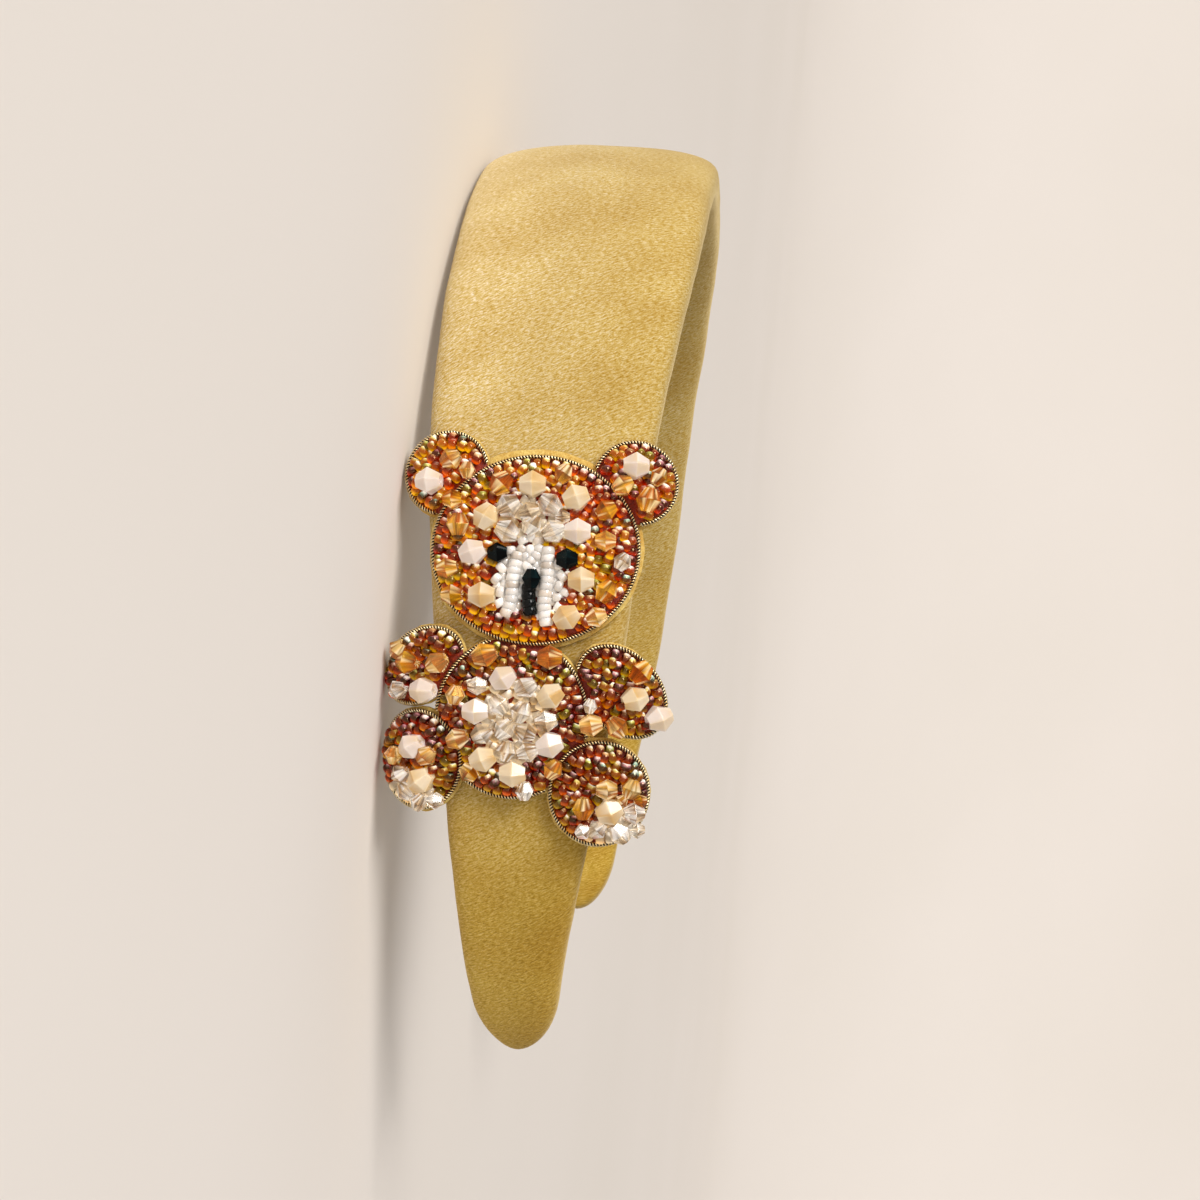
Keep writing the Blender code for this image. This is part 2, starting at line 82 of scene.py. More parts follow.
# Radii towards the front and the back
HEAD_BEND = (80.0, 80.0)
BODY_BEND = (50.0, 25.0)
BEND_CHANGE = 8.0
SEAT_START = -0.5
SEAT_SAMPLES = 160
CHART_STEP = 0.1
Outline = namedtuple("Outline", "p q half_wide half_tall tilt")
OUTLINES = {
    "head": Outline(1.4, 17.0, 20.2, 18.2, 0),
    "left_ear": Outline(-16.4, 32.3, 8.2, 8.2, 0),
    "right_ear": Outline(20.9, 30.3, 8.1, 8.1, 0),
    "left_leg": Outline(-22.0, -24.2, 8.8, 9.7, 0),
    "right_leg": Outline(14.0, -30.5, 9.6, 10.2, 0),
    "torso": Outline(-3.0, -15.6, 14.8, 15.6, 0),
    "left_arm": Outline(-21.4, -5.6, 9.4, 6.7, 32),
    "right_arm": Outline(18.5, -10.5, 10.2, 7.2, -47),
}
# Each lies over those that follow it
LAYERS = list(OUTLINES)
MUZZLE = Outline(0.0, 10.6, 7.4, 8.2, 0)

# Cut beads: where they sit on the bear, their size, the turn of their hole and their height
Stone = namedtuple("Stone", "p q size turn h")
STONE_SIDES = 6
STONE_LENGTH = 0.88
STONE_END = 0.5
STONE_HEIGHT = 3.3
SEEN_SCALE = (0.974, 0.977)
SEEN_SHIFT = (0.67, -0.52)


def seen_at(p, q):
    """The place of a bead that is seen against the felt at p and q, a little further out."""
    return p * SEEN_SCALE[0] + SEEN_SHIFT[0], q * SEEN_SCALE[1] + SEEN_SHIFT[1]


def on_felt(*rows):
    """Stones from rows of p, q, size, the turn of their hole and any height of their own."""
    return [
        Stone(*seen_at(p, q), size, turn, *(height or [STONE_HEIGHT]))
        for p, q, size, turn, *height in rows
    ]


LARGE_STONES = {
    "white_opal": on_felt(
        (-20.2, 31.4, 5.8, 0), (20.4, 34.3, 5.8, 0), (-11.4, 17.2, 5.8, 20), (9.4, 21.2, 5.8, 0),
        (-5.1, -7.4, 5.6, 30), (-10.6, -13.9, 5.8, 0), (4.1, -20.4, 5.8, 15),
        (-20.6, -10.1, 5.7, 0), (25.0, -15.4, 5.8, 20), (-23.0, -21.4, 5.6, 30),
    ),
    "cream_opal": on_felt(
        (0.4, 30.4, 5.8, 0), (-8.8, 24.1, 5.8, 60), (9.0, 27.8, 5.8, 20), (10.2, 11.8, 5.8, 0),
        (7.4, 4.5, 5.8, 30), (-9.4, 8.8, 5.8, 0), (-9.2, -23.3, 5.8, 20), (-3.3, -26.1, 5.8, 0),
        (4.3, -10.8, 5.8, 30), (20.3, -11.4, 5.6, 20), (-21.2, -28.0, 5.8, 40),
        (15.3, -33.7, 5.8, 20),
    ),
    "amber_glass": on_felt(
        (18.0, 30.4, 4.6, 30), (22.9, 27.6, 5.4, 80), (-15.4, 27.6, 4.4, 0),
        (-5.9, 30.6, 5.2, 45), (-14.2, 22.6, 5.0, 90), (14.9, 25.4, 4.6, 30),
        (-16.2, 14.0, 4.6, 10), (15.0, 9.6, 5.0, 60), (-8.8, -2.9, 5.4, 20), (4.1, -3.3, 5.4, 0),
        (4.7, -25.3, 4.3, 60), (-23.8, -4.6, 5.2, 0), (21.4, -6.2, 5.2, 45),
    ),
    "black_glass": on_felt(
        (-6.4, 17.1, 4.4, 0, 3.0), (7.4, 15.8, 4.8, 0), (0.5, 12.0, 4.2, 90, 3.6)
    ),
}
SMALL_STONES = {
    "head": {
        "amber": on_felt(
            (-15.3, 8.8, 4.6, 0), (6.4, 32.5, 4.2, 60), (14.8, 19.4, 4.6, 0), (13.2, 4.6, 4.6, 20)
        ),
        "clear": on_felt(
            (18.0, 15.4, 4.0, 60), (-4.3, 26.2, 5.2, 30), (3.9, 26.4, 5.2, -35),
            (-0.1, 24.9, 4.6, 20), (0.3, 22.4, 4.6, 60), (-4.5, 21.2, 5.2, -25),
            (4.7, 21.2, 5.2, 25), (6.4, 24.0, 3.2, 0),
        ),
    },
    "left_ear": {"amber": on_felt((-16.0, 35.6, 4.6, 30), (-12.7, 33.3, 3.6, 90))},
    "right_ear": {"amber": on_felt((24.8, 32.4, 4.0, 60))},
    "torso": {
        "amber": on_felt(
            (-14.6, -10.8, 4.2, 80), (-14.3, -19.4, 4.8, 20), (-12.0, -26.0, 4.2, -40),
            (12.1, -16.5, 5.0, 10),
        ),
        "clear": on_felt(
            (-10.2, -8.9, 4.2, 0), (-0.6, -9.2, 4.8, 30), (-6.0, -12.7, 4.8, -50),
            (-1.6, -14.0, 4.8, 70), (3.4, -15.8, 4.8, 10), (-9.3, -18.3, 4.8, 30),
            (-4.8, -17.4, 4.8, 50), (-0.6, -18.0, 4.4, -20), (-4.6, -21.7, 4.4, 80),
            (-0.3, -21.8, 4.6, 20), (-1.0, -29.6, 4.0, 90),
        ),
    },
    "left_arm": {
        "amber": on_felt((-26.0, -2.0, 4.2, 40), (-17.9, -4.6, 4.8, 30)),
        "clear": on_felt((-26.0, -10.2, 4.2, 20)),
    },
    "right_arm": {
        "amber": on_felt((16.9, -17.0, 4.8, -50)),
        "clear": on_felt((12.0, -12.8, 3.2, 80)),
    },
    "left_leg": {
        "amber": on_felt((-20.2, -23.0, 4.4, 40), (-27.2, -23.6, 3.8, 80)),
        "clear": on_felt(
            (-25.6, -27.2, 4.0, 30), (-24.4, -30.6, 4.0, -40), (-21.6, -32.4, 4.0, 60),
            (-18.6, -31.9, 3.6, 0),
        ),
    },
    "right_leg": {
        "amber": on_felt(
            (10.5, -33.0, 4.8, 90), (14.9, -29.3, 4.6, 0), (19.5, -29.3, 4.4, 70),
            (17.6, -31.8, 2.8, 45), (21.3, -31.9, 2.8, 10),
        ),
        "clear": on_felt(
            (20.0, -34.3, 4.6, 0), (17.2, -38.2, 4.8, -50), (13.0, -37.2, 4.2, 40),
            (20.4, -37.7, 3.6, 0), (10.4, -37.6, 3.4, 30),
        ),
    },
}
STONES = [
    stone for groups in (LARGE_STONES, *SMALL_STONES.values())
    for group in groups.values() for stone in group
]

# Seed beads: a turned outline of radius and place along the hole
SEED_OUTLINE = (
    (0.4, -0.52), (0.52, -0.7), (0.8, -0.72), (1.02, -0.5), (1.1, 0.0), (1.02, 0.5), (0.8, 0.72),
    (0.52, 0.7), (0.4, 0.52),
)
SEED_SIDES = 14
SEED_STEP = 1.84
SEED_HEIGHT = 1.35
FIRST_ROW = 1.55
ROW_STEP = 2.1
SEED_LONG = 1.66
SEED_WIDE = 2.05
SEED_SIZES = (0.98, 1.14)
UNEVEN_HEIGHT = (-0.1, 0.3)
TURN_SPREAD = 8
ROW_SAMPLES = 721
FILL_STEP = 0.3
HEAP_ROOM = 0.66
HEAP_RISE = 0.85
TUCK = 0.3
OVERLAP_REACH = 1.6

# The muzzle's columns of white beads, the single ones beside and above them, and the black
# beads under the nose, all by where they are seen
WHITE_COLUMNS = (
    ((-2.5, 16.4), (-3.1, 14.0), (-3.4, 11.6), (-3.5, 9.0), (-3.9, 7.2), (-4.5, 5.4)),
    ((3.5, 17.4), (3.6, 15.2), (3.5, 12.6), (3.2, 10.4), (2.9, 8.4), (2.9, 6.4), (3.3, 3.7)),
)
WHITE_SEEDS = (
    (-6.7, 12.0), (-5.9, 9.5), (-6.0, 7.3), (-5.7, 14.2), (6.3, 12.6), (5.8, 10.6), (7.0, 9.4),
    (5.6, 8.4), (5.7, 6.6), (-4.0, 17.6), (-1.6, 17.8), (0.0, 17.6), (1.8, 18.0), (5.4, 14.9),
    (-1.4, 19.6), (0.2, 20.4), (1.5, 19.4), (0.1, 15.7), (-0.6, 14.6), (1.2, 16.6), (-0.9, 16.4),
)
NOSE_COLUMN = ((-0.2, 10.2), (-0.2, 8.0), (0.1, 5.7))
COLUMN_STEP = 1.35
COLUMN_HEIGHT = 2.4
NOSE_HEIGHT = 2.5
COLUMN_SEED = 1.32
MUZZLE_SEED = 1.12
MUZZLE_ROOM = 0.62
MUZZLE_GAP = 0.2
MUZZLE_TUCK = 0.5
SINGLE_HEIGHT = 2.2
UNDER_HEIGHT = 1.4
CHIN_HALF_WIDTH = 2.4
CHIN_TOP = 4.6
NOSE_MIDDLE = 0.5
NOSE_HALF_WIDTH = 1.7
NOSE_BOTTOM = 10.5

# The coiled wire: two strands wound together round a dark core: the thread inside it, with painted
# shade in the coil's hollow
WIRE_RADIUS = 0.55
WIRE_HEIGHT = 0.85
COIL_PITCH = 1.22
STRAND_RADIUS = 0.155
COIL_STEPS = 10
STRAND_SIDES = 5
CORE_RADIUS = 0.3
CORE_STEP = 4
CORE_SIDES = 8
RUN_SAMPLES = 1440
SHORTEST_RUN = 40

PAD_POINTS = 96
RING_SAMPLES = 1440
LEG_RINGS = 128
TIP_RINGS = 12
TIP_START = 0.35
# Gentle swells of the padding, by their size and depth
PAD_SWELLS = ((17, 0.28), (6, 0.1))
NAP_TURN = 30.0

GAMMA = 2.2


def linear(red, green, blue):
    """A colour of 0 to 255 values, made linear."""
    return tuple((value / 255) ** GAMMA for value in (red, green, blue)) + (1.0,)


BLACK, WHITE = (0, 0, 0), (255, 255, 255)


def blend(low, high, share):
    return low * (1 - share) + high * share


def all_round(count):
    """That many even angles, once round."""
    return 2 * math.pi * np.arange(count) / count


def lengths_along(*coordinates):
    """The length from the start of a line to each of its points."""
    steps = np.sqrt(sum(np.diff(values) ** 2 for values in coordinates))
    return np.concatenate(([0.0], np.cumsum(steps)))


# Finishes


class Link:
    """A node's result, which can stand in a sum."""

    def __init__(self, finish, socket):
        self.finish, self.socket = finish, socket

    def maths(self, operation, *values):
        return self.finish.add("ShaderNodeMath", {"operation": operation}, dict(enumerate(values)))

    def __add__(self, other):
        return self.maths("ADD", self, other)

    def __radd__(self, other):
        return self.maths("ADD", other, self)

    def __sub__(self, other):
        return self.maths("SUBTRACT", self, other)

    def __rsub__(self, other):
        return self.maths("SUBTRACT", other, self)

    def __mul__(self, other):
        return self.maths("MULTIPLY", self, other)

    def __rmul__(self, other):
        return self.maths("MULTIPLY", other, self)


class Finish:
    """A material whose nodes are written as calls and sums."""

    def __init__(self, name, constants):
        self.material = bpy.data.materials.new(name)
        self.material.use_nodes = True
        self.tree = self.material.node_tree
        self.shader = self.tree.nodes["Principled BSDF"]
        for socket, value in constants.items():
            self.shader.inputs[socket].default_value = value

    def add(self, kind, settings, sockets, output=0):
        """A node of that type: its settings, then its sockets' values or links."""
        node = self.tree.nodes.new(kind)
        for name, value in settings.items():
            setattr(node, name, value)
        for name, value in sockets.items():
            if isinstance(value, Link):
                self.tree.links.new(value.socket, node.inputs[name])
            else:
                node.inputs[name].default_value = value
        return Link(self, node.outputs[output])

    def feed(self, socket, link):
        self.tree.links.new(link.socket, self.shader.inputs[socket])

    def attribute(self, name, output):
        return self.add("ShaderNodeAttribute", {"attribute_name": name}, {}, output)

    def where(self):
        """The place on the piece, in metres."""
        return self.add("ShaderNodeTexCoord", {}, {}, "Object")

    def scaled(self, vector, scale):
        """The product of two vectors or colours."""
        return self.add("ShaderNodeVectorMath", {"operation": "MULTIPLY"}, {0: vector, 1: scale})

    def noise(self, vector, scale, detail=2.0, roughness=0.5):
        sockets = {"Vector": vector, "Scale": scale, "Detail": detail, "Roughness": roughness}
        return self.add("ShaderNodeTexNoise", {}, sockets)

    def ramp(self, factor, *stops):
        """A run of colours of 0 to 255 values, by the place of each."""
        result = self.add("ShaderNodeValToRGB", {}, {0: factor})
        marks = result.socket.node.color_ramp.elements
        while len(marks) < len(stops):
            marks.new(1.0)
        for mark, (place, colour) in zip(marks, stops):
            mark.position, mark.color = place, linear(*colour)
        return result

    def bump(self, height, distance, strength=1.0):
        """Relief of that depth in millimetres."""
        sockets = {"Height": height, "Distance": distance * MM, "Strength": strength}
        self.feed("Normal", self.add("ShaderNodeBump", {}, sockets))


def velvet_finish():
    """Short nap in fine slanted strokes, with painted sheen on its crests and painted light
    towards its back edge.
    """
    velvet = Finish("gold_velvet", {
        "Roughness": 0.8, "Specular IOR Level": 0.15, "Sheen Weight": 0.55,
        "Sheen Roughness": 0.4, "Sheen Tint": linear(255, 236, 190),
    })
    nap = velvet.attribute("nap", "Vector")
    strokes = velvet.noise(velvet.scaled(nap, (0.85, 2.8, 0.0)), 1.0, 2.0, 0.55)
    tufts = velvet.noise(velvet.scaled(nap, (2.2, 4.6, 0.0)), 1.0, 2.0)
    patches = velvet.noise(velvet.scaled(nap, (0.05, 0.07, 0.0)), 1.0, 3.0)
    crests = strokes * 0.6 + tufts * 0.4
    # The strokes and tufts are the nap; the pale run gives their crests a painted sheen, and the
    # deep run is the same nap in painted shade
    pale = velvet.ramp(
        crests, (0.36, (176, 142, 53)), (0.5, (205, 181, 119)), (0.64, (231, 219, 197))
    )
    nap_in_painted_shade = velvet.ramp(
        crests, (0.36, (163, 131, 42)), (0.5, (194, 162, 73)), (0.64, (222, 193, 118))
    )
    # Painted light and shade along the band: the pale run as far as about the bear's top, then the
    # deep run over the next 60 mm towards the tips
    place = velvet.add("ShaderNodeSeparateXYZ", {}, {0: velvet.where()})
    share = velvet.ramp(place, (0.0, BLACK), (0.06, WHITE))
    tone = velvet.add("ShaderNodeMix", {"data_type": "RGBA"}, {0: share, 6: pale, 7: nap_in_painted_shade}, 2)
    shade = velvet.ramp(patches, (0.35, (238, 230, 210)), (0.65, WHITE))
    # Painted light across the band: brightest at its back edge, with painted shade, darker and
    # yellower, towards its front edge
    side = velvet.add("ShaderNodeSeparateXYZ", {}, {0: nap}, 2)
    lean = velvet.ramp(side, (0.1, WHITE), (0.45, (237, 234, 222)), (0.85, (229, 222, 191)))
    velvet.feed("Base Color", velvet.scaled(velvet.scaled(tone, shade), lean))
    velvet.bump(crests, 0.35, 0.8)
    return velvet.material


def felt_finish():
    felt = Finish("golden_felt", {
        "Roughness": 0.95, "Specular IOR Level": 0.1, "Sheen Weight": 0.3,
        "Sheen Tint": linear(255, 220, 150),
    })
    where = felt.where()
    fibres = felt.noise(where, 1800.0, 4.0, 0.7)
    blotches = felt.noise(where, 160.0, 2.0)
    tone = felt.ramp(fibres, (0.3, (201, 163, 77)), (0.7, (241, 221, 141)))
    shade = felt.ramp(blotches, (0.35, (225, 205, 180)), (0.65, WHITE))
    felt.feed("Base Color", felt.scaled(tone, shade))
    felt.bump(fibres, 0.25)
    return felt.material


def grained(name, constants, grain, *stops):
    """A finish whose colours lie in grains of that size, detail and roughness, and the grains."""
    finish = Finish(name, constants)
    grains = finish.noise(finish.where(), *grain)
    finish.feed("Base Color", finish.ramp(grains, *stops))
    return finish, grains


def brass_finish():
    """Antique wire: bright on its crests, darker in patches."""
    brass, tarnish = grained(
        "antique_brass", {"Metallic": 1.0, "Specular IOR Level": 0.5}, (900.0, 3.0, 0.6),
        (0.35, (214, 182, 118)), (0.62, (255, 242, 204)),
    )
    brass.feed("Roughness", 0.42 - tarnish * 0.2)
    return brass.material


def ground_finish():
    """The garnet under the beads: their stitching, with painted shade and painted reflections of
    their colour.
    """
    ground, threads = grained(
        "garnet_stitching_and_painted_shade", {"Roughness": 0.55}, (1300.0, 3.0, 0.65),
        (0.3, (96, 10, 2)), (0.7, (170, 58, 14)),
    )
    ground.bump(threads, 0.3)
    return ground.material


def bead_finish(name, specks, roughness, ior, glow=0.0, more=None):
    """Glass that takes its colour from each bead's tint, a little darker in specks, with a painted
    glow in that tint.
    """
    constants = {"Roughness": roughness, "IOR": ior, "Emission Strength": glow}
    bead = Finish(name, {**constants, **(more or {})})
    tint, grain = bead.attribute("tint", "Color"), bead.noise(bead.where(), 1100.0)
    speck = 255 * (1 - specks) ** (1 / GAMMA)
    tint = bead.scaled(tint, bead.ramp(grain, (0.35, (speck,) * 3), (0.65, WHITE)))
    bead.feed("Base Color", tint)
    # Painted glow: the tint glows as far as its fourth value says, times the glow strength
    if glow:
        bead.feed("Emission Color", bead.scaled(tint, bead.attribute("tint", "Alpha")))
    return bead.material


FINISHES = {
    "velvet": velvet_finish(),
    "felt": felt_finish(),
    "brass": brass_finish(),
    # The coil's core: its thread, and painted shade in the hollow of the coil
    "core": grained(
        "thread_core_and_painted_shade", {"Roughness": 0.7}, (1500.0,), (0.3, (12, 8, 6)), (0.7, (34, 24, 18))
    )[0].material,
    "ground": ground_finish(),
    # The fourth number of each bead finish is the strength of its painted glow
    "lustre": bead_finish("lustre_seed", 0.1, 0.1, 1.62, 0.5, {
        "Transmission Weight": 0.35, "Specular Tint": linear(255, 222, 170),
    }),
    "white_seed": bead_finish("white_seed", 0.06, 0.12, 1.5, 0.22, {
        "Coat Weight": 1.0, "Coat Roughness": 0.02, "Subsurface Weight": 0.6,
        "Subsurface Radius": (1.0, 0.9, 0.8), "Subsurface Scale": 0.001,
    }),
    "black_seed": bead_finish("black_seed", 0.3, 0.08, 1.3),
    "opal": bead_finish("milky_opal", 0.03, 0.12, 1.5, 0.43, {
        "Subsurface Weight": 0.8, "Subsurface Radius": (1.0, 0.8, 0.6), "Subsurface Scale": 0.003,
    }),
    "amber": bead_finish("amber_cut_glass", 0.04, 0.03, 1.48, 0.32, {
        "Transmission Weight": 0.6, "Specular Tint": linear(255, 208, 130),
    }),
    "clear": bead_finish("clear_cut_glass", 0.03, 0.02, 1.54, 0.25, {"Transmission Weight": 0.7}),
    "jet": bead_finish("jet_cut_glass", 0.3, 0.05, 1.22),
}

# The band


def band_at(station):
    """The section at a place from -8 (the bear's tip) over 0 (the crown) to 8, read smoothly."""
    place = min(abs(station), LAST_STATION)
    start = min(int(place), LAST_STATION - 1)
    t = place - start

    def row(index):
        if index > LAST_STATION:
            mirrored = np.array(BAND_SECTIONS[2 * LAST_STATION - index])
            return 2 * np.array(BAND_SECTIONS[LAST_STATION]) - mirrored
        section = np.array(BAND_SECTIONS[abs(index)], float)
        section[1] *= 1 if index >= 0 else -1
        return section

    a, b, c, d = (row(start + step) for step in (-1, 0, 1, 2))
    value = b + 0.5 * t * (c - a + t * (2 * a - 5 * b + 4 * c - d + t * (3 * (b - c) + d - a)))
    value[1] *= math.copysign(1, station)
    return BandSection(*value)


def band_frame(station):
    """The inner middle of the pad there, and the way out of it, in the band's x and y."""
    here = band_at(station)
    before, after = band_at(station - STATION_STEP), band_at(station + STATION_STEP)
    along = np.array((after.drop - before.drop, after.reach - before.reach))
    along /= np.linalg.norm(along)
    return np.array((here.drop, here.reach)), np.array((-along[1], along[0]))


def pad_ring(station, shrink):
    """One ring of the pad's skin, from the middle of its inside round, in even steps.

    It is an oval that is squarer the higher its roundness number is.
    """
    here = band_at(station)
    inner, out = band_frame(station)
    angles = 2 * math.pi * np.arange(RING_SAMPLES + 1) / RING_SAMPLES - math.pi / 2
    roundness = np.where(np.cos(angles) < 0, here.back_roundness, FRONT_ROUNDNESS)
    thin = TIP_THINNEST + (1 - TIP_THINNEST) * shrink
    across, up = (
        half * np.copysign(np.abs(part) ** (2 / roundness), part) for half, part in (
            (here.width / 2 * shrink, np.cos(angles)), (here.thick / 2 * thin, np.sin(angles)),
        )
    )
    lengths = lengths_along(across, up)
    steps = lengths[-1] * np.arange(PAD_POINTS) / PAD_POINTS
    across, up = np.interp(steps, lengths, across), np.interp(steps, lengths, up)
    places = inner + np.outer(here.thick / 2 + up, out)
    return np.column_stack((places, here.forward + across))


def pad_rings():
    """The rings from the bear's tip to the other, closer together where the tips round off."""
    before, end = BAND_SECTIONS[-2], BAND_SECTIONS[-1]
    tip = TIP_LENGTH / math.hypot(end.drop - before.drop, end.reach - before.reach)
    side = []
    for k in range(TIP_RINGS):
        turn = math.pi / 2 * (k + TIP_START) / (TIP_RINGS + TIP_START)
        side.append((LAST_STATION - tip * (1 - math.cos(turn)), math.sin(turn)))
    side += [((LAST_STATION - tip) * k / LEG_RINGS, 1.0) for k in range(LEG_RINGS, 0, -1)]
    stations = [(-station, shrink) for station, shrink in side] + [(0.0, 1.0)] + side[::-1]
    return np.array([pad_ring(*station) for station in stations])


# The bear's patch, which follows the pad along the leg and bends back past its edges


def seat_line():
    """The patch's middle line down the bear's leg: heights, places and ways out."""
    stations = np.linspace(SEAT_START, -LAST_STATION, SEAT_SAMPLES)
    inner, ways = np.swapaxes([band_frame(station) for station in stations], 0, 1)
    skin = inner + ways * np.array([[band_at(station).thick] for station in stations])
    lengths = lengths_along(*skin.T)
    start = np.interp(BEAR_DROP, skin[:, 0], lengths)
    return lengths - start, skin + ways * (SEAT_GAP + FELT_THICK), ways


SEAT_DEPTHS, SEATS, SEAT_WAYS = seat_line()


def smooth_step(value, low, high):
    t = np.clip((value - low) / (high - low), 0.0, 1.0)
    return t * t * (3 - 2 * t)


def bear_points(p, q, h):
    """Where points of the bear lie in the band's frame."""
    p, q, h = np.broadcast_arrays(p, q, h)
    lean = math.radians(BEAR_LEAN)
    across = p * math.cos(lean) - q * math.sin(lean)
    along = p * math.sin(lean) + q * math.cos(lean)
    seat, out = (
        np.stack([np.interp(-along, SEAT_DEPTHS, line[:, k]) for k in (0, 1)], -1)
        for line in (SEATS, SEAT_WAYS)
    )
    head = smooth_step(along, -BEND_CHANGE, BEND_CHANGE)
    front = across > 0
    extra = head / np.where(front, *HEAD_BEND) + (1 - head) / np.where(front, *BODY_BEND)
    flat = np.minimum(np.abs(across), BEND_START)
    lean_in = flat / CROWN_OF_PATCH
    curve = 1 / CROWN_OF_PATCH + extra
    turned = lean_in + (np.abs(across) - flat) * curve
    far = CROWN_OF_PATCH * np.sin(lean_in) + (np.sin(turned) - np.sin(lean_in)) / curve
    fall = CROWN_OF_PATCH * (1 - np.cos(lean_in)) + (np.cos(lean_in) - np.cos(turned)) / curve
    place = seat - out * (fall - h * np.cos(turned))[..., None]
    aside = np.copysign(far + h * np.sin(turned), across)
    return np.concatenate((place, aside[..., None]), -1)


def unit(vectors):
    return vectors / np.linalg.norm(vectors, axis=-1, keepdims=True)


def bear_frames(p, q, h, turn):
    """Places on the patch, and stands there: x out of it and z along a bead's hole."""
    here = bear_points(p, q, h)
    across = unit(bear_points(np.add(p, CHART_STEP), q, h) - here)
    along = unit(bear_points(p, np.add(q, CHART_STEP), h) - here)
    out = unit(np.cross(across, along))
    up = np.cross(out, across)
    angle = np.radians(turn)[..., None]
    hole = across * np.cos(angle) + up * np.sin(angle)
    return here, np.stack((out, np.cross(hole, out), hole), -1)


def outline_points(outline, angle, grow=0.0):
    turn = math.radians(outline.tilt)
    wide = (outline.half_wide + grow) * np.cos(angle)
    tall = (outline.half_tall + grow) * np.sin(angle)
    return (
        outline.p + wide * math.cos(turn) - tall * math.sin(turn),
        outline.q + wide * math.sin(turn) + tall * math.cos(turn),
    )


def heading(outline, angle, step, grow=0.0):
    """The way along the outline from there to a small step on, in degrees."""
    p, q = outline_points(outline, angle, grow)
    ahead_p, ahead_q = outline_points(outline, angle + step, grow)
    return np.degrees(np.arctan2(ahead_q - q, ahead_p - p))


def inside(outline, p, q, grow=0.0):
    turn = math.radians(outline.tilt)
    x, y = np.subtract(p, outline.p), np.subtract(q, outline.q)
    wide = (x * math.cos(turn) + y * math.sin(turn)) / (outline.half_wide + grow)
    tall = (y * math.cos(turn) - x * math.sin(turn)) / (outline.half_tall + grow)
    return wide * wide + tall * tall < 1


# Meshes

REST = (
    Matrix.Translation((0, 0, REST_LIFT))
    @ Euler((*map(math.radians, REST_TILT), 0)).to_matrix().to_4x4()
    @ Matrix.Translation((-REST_MIDDLE[0], -REST_MIDDLE[1], 0))
)


def at_rest(points):
    """Points of the band's frame, in millimetres, as they lie at rest, in metres."""
    turn, move = np.array(REST.to_3x3()), np.array(REST.to_translation())
    return (points @ turn.T + move) * MM


Form = namedtuple("Form", "points faces")


def grid_faces(rows, columns, closed_rows=False, closed_columns=True):
    """Four-cornered faces between rows of as many points."""
    row = np.arange(rows if closed_rows else rows - 1)[:, None]
    column = np.arange(columns if closed_columns else columns - 1)[None]
    next_row, next_column = (row + 1) % rows, (column + 1) % columns
    corners = (
        row * columns + column, row * columns + next_column,
        next_row * columns + next_column, next_row * columns + column,
    )
    return np.stack(corners, -1).reshape(-1, 4)


def turned_form(outline, sides):
    """A closed outline of radius and place along the axis, turned about that axis."""
    radius, place = np.array(outline).T[..., None]
    angles = all_round(sides)
    points = radius * np.cos(angles), radius * np.sin(angles), place + 0 * angles
    return Form(np.stack(points, -1).reshape(-1, 3), grid_faces(len(outline), sides, True))


def placed(name, data):
    """A new object of that data in the scene."""
    thing = bpy.data.objects.new(name, data)
    bpy.context.scene.collection.objects.link(thing)
    return thing


class Joined:
    """Many small shapes gathered into one mesh, each with its own tints."""

    def __init__(self):
        self.parts, self.total = [], 0

    def add(self, points, faces, finish=0, smooth=True, tints=(1, 1, 1, 1)):
        """Tints go with the corners of the faces: one for each, or the same one for all."""
        values = [np.full(len(faces), value) for value in (faces.shape[1], finish, smooth)]
        tints = np.broadcast_to(tints, (*faces.shape, 4)).reshape(-1, 4)
        self.parts.append((points, (faces + self.total).ravel(), *values, tints))
        self.total += len(points)

    def copies(self, form, places, stands, sizes, tints, finish=0, smooth=True):
        """The form at each place and stand. Tints are rows for its points or for its faces."""
        sizes = np.broadcast_to(sizes, len(places))[:, None, None]
        points = np.einsum("nij,vj->nvi", stands, form.points) * sizes + places[:, None]
        count, faces = len(form.points), form.faces
        by_point = tints.shape[1] == count
        tints = tints[:, faces] if by_point else np.repeat(tints[:, :, None], 4, 2)
        faces = faces + np.arange(len(places))[:, None, None] * count
        self.add(
            points.reshape(-1, 3), faces.reshape(-1, 4), finish, smooth, tints.reshape(-1, 4, 4)
        )

    def piece(self, name, finishes, replaced=()):
        """The object, which rides on the band and stands for these solids."""
        points, corners, sizes, picks, smooth, tints = map(np.concatenate, zip(*self.parts))
        mesh = bpy.data.meshes.new(name)
        mesh.vertices.add(len(points))
        mesh.vertices.foreach_set("co", at_rest(points).ravel())
        mesh.loops.add(len(corners))
        mesh.loops.foreach_set("vertex_index", corners.astype(np.int32))
        mesh.polygons.add(len(sizes))
        mesh.polygons.foreach_set("loop_start", (np.cumsum(sizes) - sizes).astype(np.int32))
        mesh.polygons.foreach_set("material_index", picks.astype(np.int32))
        mesh.polygons.foreach_set("use_smooth", smooth)
        mesh.update(calc_edges=True)
        tint = mesh.color_attributes.new("tint", "FLOAT_COLOR", "CORNER")
        tint.data.foreach_set("color", tints.astype(np.float32).ravel())
        for finish in finishes:
            mesh.materials.append(FINISHES[finish])
        thing = placed(name, mesh)
        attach(thing, "root")
        if replaced:
            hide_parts(*replaced)
        return thing


# The pad and its velvet


